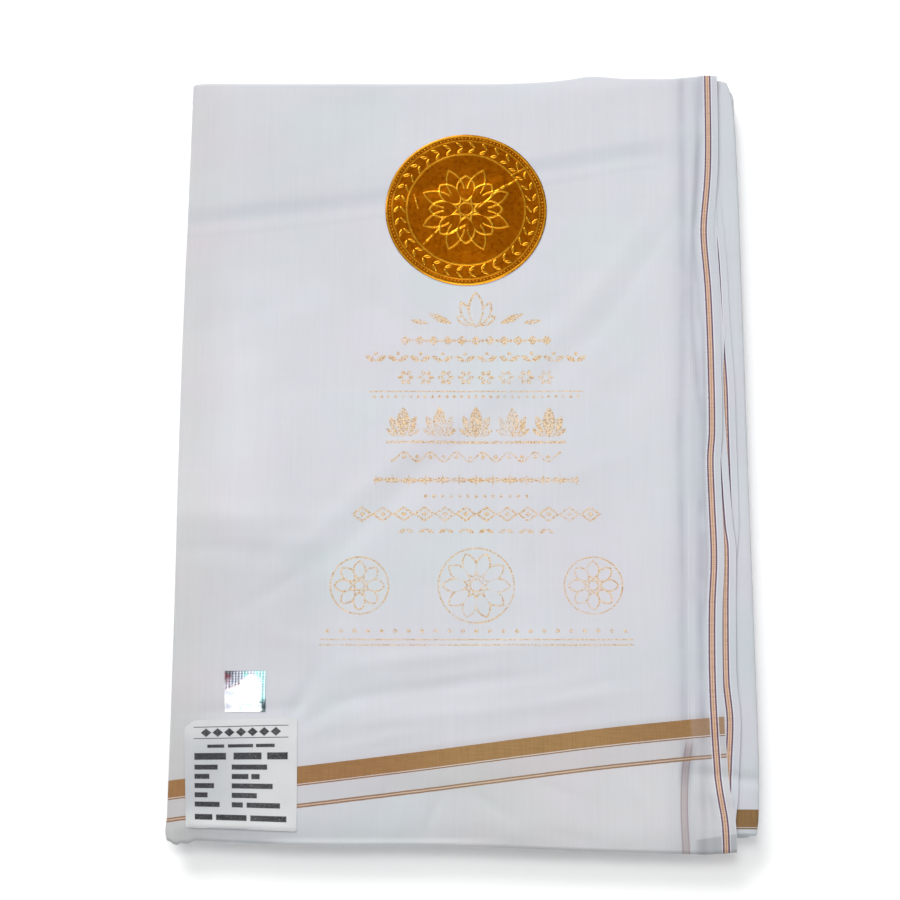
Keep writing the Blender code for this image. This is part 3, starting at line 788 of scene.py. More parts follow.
for name, node, selvedge, over, step, far_end in (
    ("third_ply_cloth", "third_ply", THIRD_SELVEDGE, SECOND_SELVEDGE, 2, 0.2170),
    ("second_ply_cloth", "second_ply", SECOND_SELVEDGE, TOP_SELVEDGE, 1, 0.2150),
):
    strip_cloth = Cloth(name.replace("_cloth", "_cotton"))
    strip_cloth.lay_thin_side_and_shade(0.7)
    strip_cloth.lay_group(BORDER, {"From Selvedge": strip_cloth.stored("from_selvedge")})
    # The ply above shades it along the edge.
    along = strip_cloth.object_place()[1]
    strip_cloth.tint((0.76, 0.755, 0.78), (strip_cloth.stored("past_upper"), 1.3, 0.3),
                     (along, 70.0, 50.0), (along, -125.0, -105.0))
    strip_x, strip_y, strip_z = folded_ply(
        stations(False, evenly(30), False), stations(False, evenly(200), False),
        left=lambda y: STRIP_LEFT + 0 * y,
        right=lambda y: line_at(selvedge, y),
        near=lambda x: STRIP_NEAR + 0 * x,
        far=lambda x: far_end + 0 * x,
        height=lambda x, y: top_face(x, y) - step * PLY_STEP + waves(x, y, 30.0 + step, PLY_WAVES),
    )
    strip_mesh = thin_sheet(name, strip_x, strip_y, strip_z, strip_cloth.finish(), {
        "from_selvedge": line_at(selvedge, strip_y) - strip_x,
        "past_upper": strip_x - line_at(over, strip_y),
    })
    strip_piece = show(name, strip_mesh, node)


# ---------------------------------------------------------------------------------------------------------
# The top ply: one layer of sheer white cotton, turned under at the left, near and far folds, with its
# selvedge free on the right. The end band crosses it aslant, and a gold design is printed in the middle.

# The finer creases, left by handling, written as the large ones are.
FINE_CREASES = (
    # (x, y, width, rise), ...
    ((-100, -165, 7, -0.2), (-91.5, -150, 8.5, -0.9), (-85, -136, 8.5, -0.62), (-80, -121, 8, 0)),
    ((-92, -156, 4.6, 0.16), (-76, -143, 5.4, 0.24), (-58, -131, 6, 0)),
    ((-91, -162, 5.2, -0.2), (-70, -150, 6.4, -0.34), (-44, -137, 7, 0)),
    ((-90, -168, 5.6, 0.18), (-62, -156, 7, 0.36), (-24, -146, 8, 0)),
    ((-60, -171, 4, 0), (-38, -166, 4.4, 0.3), (-12, -162, 4.4, 0)),
    ((-90, -178, 5, 0.16), (-40, -169, 6.4, 0.36), (14, -159, 7, 0)),
    ((-40, -186, 4, 0), (-44, -200, 4.6, -0.46), (-49, -220, 5, -0.24)),
    ((-30, -192, 4, 0), (-33, -206, 4.4, 0.36), (-36, -222, 4.6, 0.2)),
    ((-58, -192, 4.4, 0), (-62, -206, 5.4, 0.42), (-68, -220, 5.4, 0.2)),
    ((-26, -186, 5, 0), (-4, -192, 6.4, 0.4), (20, -199, 6, 0)),
    ((30, -188, 5, 0), (52, -197, 6.4, -0.4), (78, -207, 6, 0)),
    ((78, -182, 6, 0), (96, -199, 7.4, 0.4), (112, -217, 7, 0)),
    ((40, -217, 3.6, 0), (60, -222.5, 4, -0.46), (82, -228, 4, -0.2)),
    ((72, -98, 3, 0), (92, -132, 3.4, 0.28), (112, -163, 3.4, 0)),
    ((98, -147, 3, 0), (112, -132, 3.2, 0.26), (124, -120, 3, 0)),
    ((-120, -106, 7, 0), (-96, -112, 8, 0.4), (-68, -118, 8, 0)),
    ((-44, -142, 4.6, 0), (-6, -133, 5.4, 0.3), (34, -127, 5, 0)),
    ((26, -151, 4.6, 0), (66, -140, 5.4, -0.34), (108, -131, 5, 0)),
    ((-30, -98, 11, 0), (20, -90, 12, 0.34), (66, -83, 11, 0)),
    ((-160, 56, 14, 0.1), (-104, 76, 16, 0.44), (-56, 94, 14, 0)),
    ((-70, 98, 8, 0), (-44, 80, 9.4, -0.32), (-18, 60, 9, 0)),
    ((14, 56, 11, 0), (60, 90, 13, -0.22), (100, 122, 10, 0)),
    ((-136, 6, 10, 0), (-112, 28, 11, -0.34), (-88, 50, 10, 0)),
    ((34, -34, 11, 0), (76, -12, 13, 0.38), (114, 8, 11, 0)),
    ((66, 26, 7, 0), (92, 48, 8.4, 0.32), (116, 70, 7, 0)),
    ((50, -219, 10, 0), (90, -215, 12, -0.2), (124, -214, 10, 0)),
    ((126, -116, 2.4, 0), (128.6, -146, 2.6, 0.26), (132, -174, 2.4, 0)),
    ((124, -164, 3.6, 0), (130, -192, 4.2, 0.3), (138, -222, 4, 0.1)),
    ((131.5, 210, 3.2, 0), (133, 180, 3.6, 0.24), (135, 146, 3.2, 0)),
    ((122, 197, 4, 0), (136, 193, 4.4, 0.2), (150, 190, 4, 0)),
    ((-156, -222.6, 2.4, -0.3), (-134, -223.4, 2.8, -0.85), (-114, -224, 2.6, -0.6), (-88, -225, 2.2, 0)),
    ((-144, -219.4, 1.6, 0.1), (-106, -220.6, 1.9, 0.26), (-66, -222.2, 1.8, 0)),
    ((-158.5, -212, 2, 0.2), (-155, -218, 2.4, 0.55), (-151.5, -225, 2.2, 0.3)),
    ((-151.4, -213, 1.6, -0.2), (-150, -219, 2, -0.5), (-148.6, -225, 1.8, -0.2)),
    ((-161.4, -203, 2.2, 0), (-160, -213, 2.6, -0.42), (-158, -223, 2.4, -0.2)),
)
BAND_EDGE = (  # along x, the band's inner edge y
    (-162.5, -191.7), (-91.1, -184.1), (-23.8, -175.9), (75.9, -163.2), (123.1, -158.3), (144.8, -156.5),
)
HIDDEN_BAND = (  # along x, y of the next layer's end band, which shows through
    (-154.8, 141.1), (-49.2, 153.2), (47, 173.6), (112.7, 184.9), (140, 189),
)
HIDDEN_BORDER = (  # along y, x of a border one layer down, which shows through
    (-230, 122), (-213, 121.4), (-197, 121.8), (-186, 122.7), (-172, 125), (-160, 126.8),
)
# The edges of two folds below, which show through as grey streaks.
LEFT_STREAK = (  # along y, x
    (-231, 122), (-155, 122.8), (-116, 123.2), (-58, 124.5), (6, 124.6), (48, 127), (94, 129.2), (154, 130),
    (231, 131),
)
RIGHT_STREAK = (  # along y, x
    (-231, 131.5), (-155, 132.6), (-113, 133.2), (-44, 135.2), (9, 137.6), (45, 135), (76, 133.6),
    (110, 134.3), (138, 136.5), (170, 138.8), (196, 141.3), (231, 143.4),
)
PRINT_DARK, PRINT_PALE = (0.40, 0.240, 0.105), (0.70, 0.525, 0.320)
PRINT_X = 7.5               # millimetres to the right, where the design has its middle
SOFT_EDGE = -2.2            # from a distance in millimetres to the ink's cover


def across(x, y):
    """The length of the vector (x, y)."""
    return (x * x + y * y).math("SQRT")


def make_print_group():
    """The gold design: rows of lotus buds, lozenges, beads and leaves over three rosettes."""
    group, start, end = new_group(
        "gold_print", "ShaderNodeTree", [("Vector", "Vector", None), ("Wear", "Float", 0.5)],
        [("Colour", "Color"), ("Cover", "Float")],
    )
    x, y, _ = (part * METRE for part in parts_of(group, start["Vector"]))
    x = x - PRINT_X

    def repeated(value, pitch, count):
        """The place within one of a row of like motifs."""
        half = (count - 1) / 2
        shift = 0.0 if count % 2 else 0.5
        number = (value / pitch + shift).math("ROUND") - shift
        return value - number.most(-half).least(half) * pitch

    def leaf(u, v, length, width):
        """A pointed leaf along u, about its middle."""
        sink = (length ** 2 - width ** 2) / (4 * width)
        return across(u, abs(v) + sink) - (sink + width / 2)

    def turned(u, v, degrees):
        c, s = cos(radians(degrees)), sin(radians(degrees))
        return u * c + v * s, v * c - u * s

    def outlined(shape, width):
        return abs(shape) - width / 2

    def rule(at_y, length, width):
        return (abs(y - at_y) - width / 2).most(abs(x) - length / 2)

    def beads(at_y, pitch, count, radius):
        return across(repeated(x, pitch, count), y - at_y) - radius

    def lozenges(at_y, pitch, count, wide, high):
        return (abs(repeated(x, pitch, count)) / wide + abs(y - at_y) / high - 1.0) * min(wide, high) * 0.7

    def leaves(at_y, pitch, count, length, width, tilt):
        u, v = turned(abs(repeated(x, pitch, count)) - length * 0.46, y - at_y, tilt)
        return leaf(u, v, length, width)

    def behind(shape, front, gap):
        """What shows of a shape that lies behind another, with a gap round the front one."""
        return shape.most(-front + gap)

    def bud(u, v, size, gap):
        """A lotus bud: an upright middle petal, two leaning ones behind it and two low ones behind those."""
        middle = leaf(v - size * 0.5, u, size, size * 0.40)
        lean_u, lean_v = turned(abs(u) - size * 0.25, v - size * 0.37, 64)
        leaning = leaf(lean_u, lean_v, size * 0.74, size * 0.27)
        low_u, low_v = turned(abs(u) - size * 0.33, v - size * 0.17, 32)
        low = leaf(low_u, low_v, size * 0.46, size * 0.18)
        return middle.least(behind(leaning, middle, gap)).least(behind(low, leaning.least(middle), gap))

    def rosette(u, v, petals, inner, outer, width):
        """Pointed petals round a middle, and the distance from it."""
        sector = 2 * pi / petals
        angle = v.math("ARCTAN2", u)
        angle = angle - (angle / sector).math("ROUND") * sector
        radius = across(u, v)
        along, aside = radius * angle.math("COSINE"), radius * angle.math("SINE")
        return leaf(along - (inner + outer) / 2, aside, outer - inner, width), radius

    # The crest: an open lotus between two curling leaves.
    drawn = [outlined(bud(x, y - 72.0, 21.0, 0.0), 1.3)]
    for length, side_x, side_y, tilt in ((15.0, 21.0, 77.0, 24.0), (11.0, 33.0, 75.0, 8.0)):
        side_u, side_v = turned(abs(x) - side_x, y - side_y, tilt)
        drawn.append(leaf(side_u, side_v, length, length * 0.27))
    flower, _ = rosette(repeated(x, 11.6, 8), y - 41.0, 6, 1.3, 4.8, 2.3)
    stem = (x * (2 * pi / 15.0)).math("SINE") * 2.6
    drawn += [
        lozenges(63.5, 8.2, 11, 3.3, 3.0), beads(63.5, 8.2, 10, 0.9),
        # Rows under it.
        leaves(52.5, 12.9, 10, 6.8, 3.0, 30.0), beads(55.5, 12.9, 10, 1.2), flower,
        rule(32.5, 124.0, 0.8), beads(29.3, 4.2, 29, 0.95),
        # The bold row of buds.
        bud(repeated(x, 21.0, 5), y - 4.6, 18.6, 0.55), rule(2.0, 103.0, 1.6),
        # A winding stem with a bead in each bend.
        (abs(y - stem + 6.8) * 0.75 - 0.5).most(abs(x) - 48.75), beads(-6.8, 7.5, 12, 1.25),
        # Closer rows.
        leaves(-20.5, 9.6, 12, 5.4, 3.0, 0.0), lozenges(-20.5, 9.6, 13, 1.1, 3.2), beads(-30.0, 4.8, 13, 1.0),
        outlined(lozenges(-40.5, 11.8, 12, 5.3, 3.9), 1.1), lozenges(-40.5, 11.8, 12, 1.9, 1.6),
        leaves(-50.5, 11.4, 8, 4.8, 2.2, -26.0),
    ]
    # Three rosettes over a last row.
    for at_x, petals, inner, outer, width in ((-66.0, 8, 4.0, 14.0, 6.6), (0.0, 10, 5.0, 19.0, 7.8),
                                              (66.0, 8, 4.0, 14.0, 6.6)):
        petal, radius = rosette(x - at_x, y + 82.0, petals, inner, outer, width)
        drawn += [outlined(shape, 0.95) for shape in (petal, radius - (outer + 2.4), radius - inner * 0.72)]
    drawn += [beads(-108.0, 7.6, 23, 1.2), rule(-113.0, 176.0, 0.8), rule(-116.0, 176.0, 0.8)]
    solid = (reduce(Measure.least, drawn) * SOFT_EDGE).math("ADD", 0.5, clamp=True)
    # The ink took unevenly on the yarns, and has rubbed off in places.
    speck = mottled(group, start["Vector"], 1000.0, Roughness=0.6)
    aside = put(group, "ShaderNodeVectorMath", {0: start["Vector"], 1: (0.37, 0.11, 0.0)}).outputs[0]
    fleck = mottled(group, aside, 1250.0, 1.0)
    worn = speck + (mottled(group, start["Vector"], 55.0, 3.0) - 0.5) * 0.5
    kept = worn.eased(0.36, 0.56) * start["Wear"] + (-Measure(group, start["Wear"]) + 1.0)
    feed(end, {
        "Colour": mixed(group, fleck.eased(0.36, 0.62), PRINT_DARK, PRINT_PALE), "Cover": solid * kept,
    })
    return group


top_cloth = Cloth("top_ply_cotton", streaks=1.15)
top_x, top_y, _ = top_cloth.object_place()
from_selvedge, beyond_band, hidden_band, hidden_border = (
    top_cloth.stored(title) for title in ("from_selvedge", "beyond_band", "hidden_band", "hidden_border")
)
straight = top_cloth.lay_thin_side_and_shade()
# Edges of the folds below show through as soft grey streaks.
rib_reach = mottled(top_cloth.tree, top_cloth.place, 42.0).eased(0.34, 0.60)
for title, half_width in (("left_streak", 1.7), ("right_streak", 1.6)):
    streak = top_cloth.stored(title).within(half_width, -2.2, 1.8) * (rib_reach * 0.45 + 0.55)
    top_cloth.lay((0.855, 0.85, 0.865), streak, "MULTIPLY")
beside = (from_selvedge - 11.8).within(1.0, -1.6, 1.2) * top_y.eased(205.0, 175.0) * (rib_reach * 0.7 + 0.3)
halfway = (top_y - 30.0).within(45.0, -12.0, 12.0)
beside = beside * (halfway * -0.55 + top_y.eased(-85.0, -105.0) * -0.45 + 1.0)
top_cloth.lay((0.87, 0.875, 0.88), beside, "MULTIPLY")
# So does the hem of a lower fold, close to the border.
hem = (from_selvedge - 9.9).within(0.9, -0.8, 0.8) * top_y.eased(84.0, 66.0) * top_y.eased(-108.0, -88.0)
top_cloth.lay((0.85, 0.845, 0.855), hem * (rib_reach * 0.3 + 0.7), "MULTIPLY")
# Fine ribs run straight along the cloth there, faintly.
rib_reach = (top_y.eased(100.0, 50.0) * 0.7 + 0.3) * rib_reach
for rib_place, rib_share in ((127.4, 0.25), (129.7, 0.55), (131.6, 0.50), (132.8, 0.40)):
    rib = (straight - rib_place).within(0.25, -0.25, 0.25)
    top_cloth.lay((0.56, 0.57, 0.60), rib * rib_reach * rib_share)
# Past the end band the cloth is greyer.
end_zone = top_y.eased(-176.0, -196.0) * top_x.eased(70.0, 10.0) * 0.45
end_zone = end_zone + top_x.eased(-128.0, -158.0) * top_y.eased(-110.0, -185.0)
top_cloth.lay((0.885, 0.875, 0.865), end_zone.math("MULTIPLY", 1.0, clamp=True), "MULTIPLY")
top_cloth.tint((1.015, 0.995, 0.962), (top_y, -160.0, -192.0), (top_x, -40.0, 20.0))
# Along the left fold it is warmer, and from the middle towards the far end painted shade greys it where it
# slopes from the light.
top_cloth.tint((0.945, 0.925, 0.895), (top_x, -126.0, -158.0), (top_y, -60.0, 10.0))
top_cloth.tint((0.985, 0.970, 0.930), (top_x, -120.0, -156.0), (top_y, 0.0, -50.0))
# A broad patch on the left, just nearer than the left crease, is painted darker: painted shade.
top_cloth.tint((0.938, 0.943, 0.940), (top_x, -62.0, -94.0), (top_y, -51.0, -60.0), (top_y, -142.0, -100.0))
# Along the left fold, from the left crease to a little past the middle, the cloth is painted lighter: painted
# light.
top_cloth.tint((1.055, 1.055, 1.050), (top_x, -98.0, -130.0), (top_y, -50.0, -38.0), (top_y, 84.0, 46.0))
# Near the far end, in from the left fold, a patch is painted a little darker: painted shade.
top_cloth.tint((0.967, 0.965, 0.960), (top_x, -150.0, -125.0), (top_x, -30.0, -70.0), (top_y, 90.0, 120.0))
# Light comes through the single layer of the near lip.
top_cloth.tint((1.22, 1.21, 1.19), (top_y, -221.6, -224.4), (top_x, -114.0, -96.0), (top_x, 30.0, -10.0))

# What shows through from the layer below: its end band, bluish, and a border, pinkish.
band_ghost = hidden_band.within(4.4, -3.6, 3.4) * 0.42 + (hidden_band + 12.5).within(1.3, -1.8, 1.8) * 0.18
top_cloth.lay((0.395, 0.425, 0.465), band_ghost * top_x.eased(132.0, 100.0))
ghost_end = top_y.eased(-166.0, -176.0)
ghost_lines = (abs(hidden_border) - 1.75).within(0.35, -0.3, 0.3) * ghost_end
top_cloth.lay((0.36, 0.295, 0.285), hidden_border.within(1.9, -0.6, 0.4) * ghost_end * 0.60)
top_cloth.lay((0.22, 0.15, 0.19), ghost_lines * 0.50)
ghost_shade = (hidden_border - 0.5).within(3.5, -2.0, 1.5) * (top_y + 183.0).within(8.0, -8.0, 4.0)
top_cloth.lay((0.74, 0.74, 0.77), ghost_shade * 0.75, "MULTIPLY")
# By the corner only the top ply is left, over the folded end of the next one.
top_cloth.tint((1.055, 1.035, 1.03), (top_x, 126.5, 129.5), (top_y, -184.0, -200.0))
past_end = top_y + 223.1 - (top_x - 134.0) * 0.14
top_cloth.tint((0.765, 0.765, 0.785), (past_end, 0.6, -0.6), (top_x, 126.0, 129.6))

# The cloth is a little darker from just before the band to its far edge.
band_margin = beyond_band.eased(-5.0, -0.5) * beyond_band.eased(24.0, 19.0)
top_cloth.lay((0.92, 0.90, 0.875), band_margin * (top_x.eased(-90.0, -20.0) * 0.7 + 0.3), "MULTIPLY")
band_share = from_selvedge.eased(17.5, 20.0, 0.84, 1.0)
band_cover = top_cloth.lay_group(END_BAND, {"Beyond": beyond_band}, band_share)
# Its dye is deeper towards either side.
top_cloth.lay((0.920, 0.836, 0.850), band_cover * top_x.eased(10.0, -55.0), "MULTIPLY")
top_cloth.lay((0.905, 0.872, 0.900), band_cover * top_x.eased(65.0, 115.0), "MULTIPLY")
top_cloth.lay_group(BORDER, {"From Selvedge": from_selvedge})
top_cloth.lay_group(make_print_group(), {"Wear": 0.8}, 0.95)


def top_outer(x, y):
    """The height of the top ply's outer face with every crease."""
    return top_face(x, y) + crease_rise(x, y, FINE_CREASES) + waves(x, y, 60.0, PLY_WAVES)


top_columns = evenly(140, 0.0, 0.885) + evenly(40, 0.885, 1.0)[1:]
top_cx, top_cy, top_cz = folded_ply(
    stations(True, top_columns, False), stations(True, evenly(204), True),
    left=lambda y: line_at(LEFT_FOLD, y) + LIP,
    right=lambda y: line_at(TOP_SELVEDGE, y),
    near=lambda x: line_at(NEAR_FOLD, x) + LIP,
    far=lambda x: line_at(FAR_FOLD, x) - LIP,
    height=top_outer,
)
top_mesh = thin_sheet("top_ply_cloth", top_cx, top_cy, top_cz, top_cloth.finish(), {
    "from_selvedge": line_at(TOP_SELVEDGE, top_cy) - top_cx,
    "beyond_band": line_at(BAND_EDGE, top_cx) - top_cy,
    "hidden_band": top_cy - line_at(HIDDEN_BAND, top_cx),
    "hidden_border": top_cx - line_at(HIDDEN_BORDER, top_cy),
    "left_streak": top_cx - line_at(LEFT_STREAK, top_cy),
    "right_streak": top_cx - line_at(RIGHT_STREAK, top_cy),
})
top_piece = show("top_ply_cloth", top_mesh, "top_ply")


# ---------------------------------------------------------------------------------------------------------
# The round seal: thin gold foil, stuck on the top ply. It is embossed with a beaded rim, a laurel ring
# and a rosette, and handling has left a few creases across it.

SEAL_CENTRE = (0.0018, 0.1450)
SEAL_RADIUS = 0.0477
SEAL_STEPS, SEAL_RINGS = 560, 120
STICKER_LIFT = 0.00025      # of each sticker over the top ply
FOIL_THICK = 0.00012
# The gold from sunk to raised lines; the brighter raised gold is a painted highlight.
FOIL_GOLD_AND_HIGHLIGHT = ((0, (0.325, 0.076, 0.0)), (1, (0.78, 0.42, 0.030)))   # from sunk to raised
# Radius, width and rise of each raised ring, in millimetres, and of the one in the rosette's middle.
RINGS = ((46.9, 0.7, 0.14), (43.7, 0.6, 0.08), (35.0, 0.75, 0.10))
MIDDLE_RING = (4.0, 0.7, 0.12)
PETALS = 8
PETAL_ROWS = (  # turn in petals, inner and outer end, width, rise, and the radius within which it is hidden
    (0.0, 5.0, 21.5, 10.5, 0.13, 0.0), (0.5, 5.0, 27.0, 9.0, 0.10, 13.0),
)
PETAL_LINE, CREASE_LINE = 0.75, 0.65    # widths of the raised lines
CREASE_LIFT = 0.20
FULL_RISE = 0.12            # from which the gold is at its brightest
FOIL_CREASES = (  # from x, from y, to x, to y, in millimetres from the seal's middle
    (16.0, 9.5, 32.0, 20.0), (18.0, 11.5, 24.0, 15.5), (-25.0, -22.0, -15.5, -12.0), (-8.0, -14.5, 1.0, -9.5),
    (-30.5, 9.0, -28.5, 1.0), (27.0, 21.5, 36.5, 27.0), (3.0, -3.0, 17.0, 9.5),
)


def laid_sticker(name, outline, rings, material, thick, relief=None, measures=None):
    """A closed sticker on the top ply, from its outline's points towards its middle."""
    outline = np.array(outline)
    middle = outline.mean(axis=0)
    shares = np.linspace(1.0, 0.0, rings + 1)[:-1][:, None, None]
    plan = np.concatenate([(middle + (outline - middle)[None] * shares).reshape(-1, 2), middle[None]])
    x, y = plan.T
    lower = top_outer(x, y) + STICKER_LIFT
    upper = lower + thick + (relief(x, y) if relief else 0.0)
    count, total = len(outline), len(plan)
    loop = np.arange(count)
    after = np.roll(loop, -1)

    def between(a, b):
        """The faces between two rings of points."""
        return np.stack([loop + a, after + a, after + b, loop + b], axis=-1).tolist()

    faces = []
    for ring in range(rings - 1):
        faces += between(ring * count, (ring + 1) * count)
    inner = (rings - 1) * count
    faces += [[int(i) + inner, int(k) + inner, total - 1] for i, k in zip(loop, after)]
    # The back has one ring in four.
    kept = list(range(0, rings, 4))
    back = np.concatenate([np.arange(ring * count, (ring + 1) * count) for ring in kept] + [[total - 1]])
    for k in range(len(kept) - 1):
        faces += between(total + (k + 1) * count, total + k * count)
    inner, last = total + (len(kept) - 1) * count, total + len(back) - 1
    faces += [[last, int(k) + inner, int(i) + inner] for i, k in zip(loop, after)]
    faces += np.stack([after, loop, loop + total, after + total], axis=-1).tolist()
    verts = np.concatenate([
        np.stack([x, y, upper], axis=-1), np.stack([x[back], y[back], lower[back]], axis=-1),
    ])
    stored = {title: function(verts[:, 0], verts[:, 1]) for title, function in (measures or {}).items()}
    return finished_mesh(name, verts, faces, material, stored, crisp=70)


def seal_relief(x, y):
    """The embossing: raised lines, in metres."""
    u, v = (x - SEAL_CENTRE[0]) / MM, (y - SEAL_CENTRE[1]) / MM
    radius, angle = np.hypot(u, v), np.arctan2(v, u)

    def ridge(distance, width, height):
        return height * MM * np.exp(-3.0 * (distance / width) ** 2)

    def raised_ring(at, width, height):
        return ridge(radius - at, width, height)

    rise = sum(raised_ring(*ring) for ring in RINGS)
    sector = 2 * pi / PETALS
    for turn, inner, outer, width, height, hidden in PETAL_ROWS:
        local = angle - sector * turn
        local = local - sector * np.round(local / sector)
        along, aside = radius * np.cos(local), np.abs(radius * np.sin(local))
        length = outer - inner
        sink = (length ** 2 - width ** 2) / (4 * width)
        shape = np.hypot(along - (inner + outer) / 2, aside + sink) - (sink + width / 2)
        rise = rise + ridge(shape, PETAL_LINE, height) * (radius > hidden)
    rise = rise + raised_ring(*MIDDLE_RING)
    for from_x, from_y, to_x, to_y in FOIL_CREASES:
        run_x, run_y = to_x - from_x, to_y - from_y
        held = np.clip(((u - from_x) * run_x + (v - from_y) * run_y) / (run_x ** 2 + run_y ** 2), 0, 1)
        away = np.hypot(u - from_x - run_x * held, v - from_y - run_y * held)
        broken = 0.55 + 0.45 * np.sin(held * 7 + from_x) * np.sin(held * 17 + from_y)
        rise = rise + ridge(away, CREASE_LINE, CREASE_LIFT) * broken
    return rise


def make_gold_foil():
    """Crinkled gold foil, painted brighter where it is raised: a painted highlight on the embossing."""
    material, tree, shader, place = new_material("gold_foil", {
        "Metallic": 1.0, "Specular Tint": (0.85, 0.50, 0.14, 1.0),
    })
    fleck = mottled(tree, place, 420.0, 4.0, Roughness=0.6)
    ridges = abs(mottled(tree, place, 45.0, 3.0) - 0.5)
    # The raised lines get the brighter gold of a painted highlight.
    share = (stored_on(tree, "raised") * 0.75 + (fleck - 0.5) * 0.22).math("ADD", 0.04, clamp=True)
    feed(shader, {
        "Base Color": graded(tree, share, FOIL_GOLD_AND_HIGHLIGHT).outputs["Color"],
        "Roughness": (fleck - 0.5) * 0.20 + 0.30,
        "Normal": bumped(tree, fleck * 0.35 + ridges, 0.35, 0.0001),
    })
    return material


gold_foil = make_gold_foil()
seal_outline = [
    (SEAL_CENTRE[0] + SEAL_RADIUS * cos(2 * pi * k / SEAL_STEPS),
     SEAL_CENTRE[1] + SEAL_RADIUS * sin(2 * pi * k / SEAL_STEPS)) for k in range(SEAL_STEPS)
]
seal_mesh = laid_sticker(
    "foil_seal_face", seal_outline, SEAL_RINGS, gold_foil, FOIL_THICK, seal_relief,
    {"raised": lambda x, y: np.clip(seal_relief(x, y) / (FULL_RISE * MM), 0, 1)},
)
seal_piece = show("foil_seal_face", seal_mesh, "foil_seal")


def make_laurel_tree():
    """Geometry Nodes: pointed leaves either side of a ring and beads by the rim, pressed on the seal."""
    group, start, end = new_group(
        "laurel_and_beads", "GeometryNodeTree",
        [("Seal", "Object", None), ("Centre", "Vector", None), ("Leaf Count", "Int", 30),
         ("Leaf Length", "Float", 0.005), ("Leaf Width", "Float", 0.002), ("Leaf Height", "Float", 0.0003),
         ("Ring Radius", "Float", 0.039), ("Spread", "Float", 0.0018), ("Bead Count", "Int", 120),
         ("Bead Radius", "Float", 0.0005), ("Bead Ring", "Float", 0.0448), ("Material", "Material", None)],
        [("Geometry", "Geometry")],
    )

    def here():
        return put(group, "GeometryNodeInputPosition").outputs[0]

    def ringed(count, radius, motif, **turn):
        """A motif at each point of a ring."""
        ring = put(group, "GeometryNodeMeshCircle", {"Vertices": count, "Radius": radius})
        inputs = {"Points": ring.outputs[0], "Instance": motif, **turn}
        return put(group, "GeometryNodeInstanceOnPoints", inputs).outputs[0]

    ball = put(group, "GeometryNodeMeshUVSphere", {"Segments": 10, "Rings": 6, "Radius": 1.0}).outputs["Mesh"]
    x, y, z = parts_of(group, here())
    waist = (-(x * x) + 1.0).most(0.0).math("SQRT")
    pointed = through(group, ball, "SetPosition", {"Position": vector_of(group, x, y * waist, z)})
    leaf_size = vector_of(group, Measure(group, start["Leaf Length"]) / 2.0,
                          Measure(group, start["Leaf Width"]) / 2.0, start["Leaf Height"])
    leaf = through(group, pointed, "Transform", {"Scale": leaf_size})
    joined = put(group, "GeometryNodeJoinGeometry")
    for side in (-1, 1):
        radius = Measure(group, start["Ring Radius"]) + Measure(group, start["Spread"]) * side
        here_x, here_y, _ = parts_of(group, here())
        lean = vector_of(group, z=here_y.math("ARCTAN2", here_x) + pi / 2 - side * radians(38))
        feed(joined, {0: ringed(start["Leaf Count"], radius, leaf, Rotation=lean)})
    bead_radius = Measure(group, start["Bead Radius"])
    bead_size = vector_of(group, bead_radius, bead_radius, bead_radius * 0.5)
    bead = through(group, ball, "Transform", {"Scale": bead_size})
    feed(joined, {0: ringed(start["Bead Count"], start["Bead Ring"], bead)})
    motifs = through(group, joined.outputs[0], "RealizeInstances")
    motifs = through(group, motifs, "SetPosition", {"Offset": start["Centre"]})
    # Each point drops straight down on the seal from above it, and keeps its own height over it.
    seal = put(group, "GeometryNodeObjectInfo", {"Object": start["Seal"]}, transform_space="ORIGINAL")
    above = put(group, "ShaderNodeVectorMath", {0: here(), 1: (0, 0, 0.05)}, operation="ADD")
    ray = put(group, "GeometryNodeRaycast", {
        "Target Geometry": seal.outputs["Geometry"], "Source Position": above.outputs[0],
        "Ray Direction": (0.0, 0.0, -1.0), "Ray Length": 0.2,
    }, data_type="FLOAT")
    landed_z = parts_of(group, ray.outputs["Hit Position"])[2]
    motifs = through(group, motifs, "SetPosition", {"Offset": vector_of(group, z=landed_z)})
    # Leaves and beads get half the painted highlight of the foil's raised lines.
    motifs = through(group, motifs, "StoreNamedAttribute", {"Name": "raised", "Value": 0.5},
                     data_type="FLOAT", domain="POINT")
    motifs = through(group, motifs, "SetShadeSmooth")
    feed(end, {"Geometry": through(group, motifs, "SetMaterial", {"Material": start["Material"]})})
    return group


laurel_mesh = mesh_from_nodes("foil_seal_laurel", make_laurel_tree(), {
    "Seal": seal_piece, "Centre": (*SEAL_CENTRE, 0.0), "Leaf Count": 34, "Leaf Length": 0.0056,
    "Leaf Width": 0.0023, "Leaf Height": 0.00021, "Ring Radius": 0.0394, "Spread": 0.0019,
    "Bead Count": 132, "Bead Radius": 0.0005, "Bead Ring": 0.0453, "Material": gold_foil,
})
show("foil_seal_laurel", laurel_mesh, "foil_seal")


# ---------------------------------------------------------------------------------------------------------
# The small square sticker: silver film with a fine grating pressed in, which splits the light into blues,
# greens and a little red.

FILM_CORNERS = ((-0.1324, -0.1536), (-0.1098, -0.1536), (-0.1102, -0.1307), (-0.1330, -0.1307))
FILM_X, FILM_Y = -121.4, -142.2     # its middle, in millimetres
FILM_THICK = 0.00010
FILM_SIDE_STEPS, FILM_RINGS = 30, 24
COLUMN_RATE, ROW_RATE = 3.7, 4.3    # of the grating, in radians to the millimetre
FILM_HUES = (
    (0.0, (0.50, 0.13, 0.19)), (0.12, (0.44, 0.30, 0.38)), (0.26, (0.50, 0.52, 0.58)),
    (0.50, (0.62, 0.66, 0.80)), (0.72, (0.42, 0.80, 0.80)), (1.0, (0.40, 0.62, 0.66)),
)


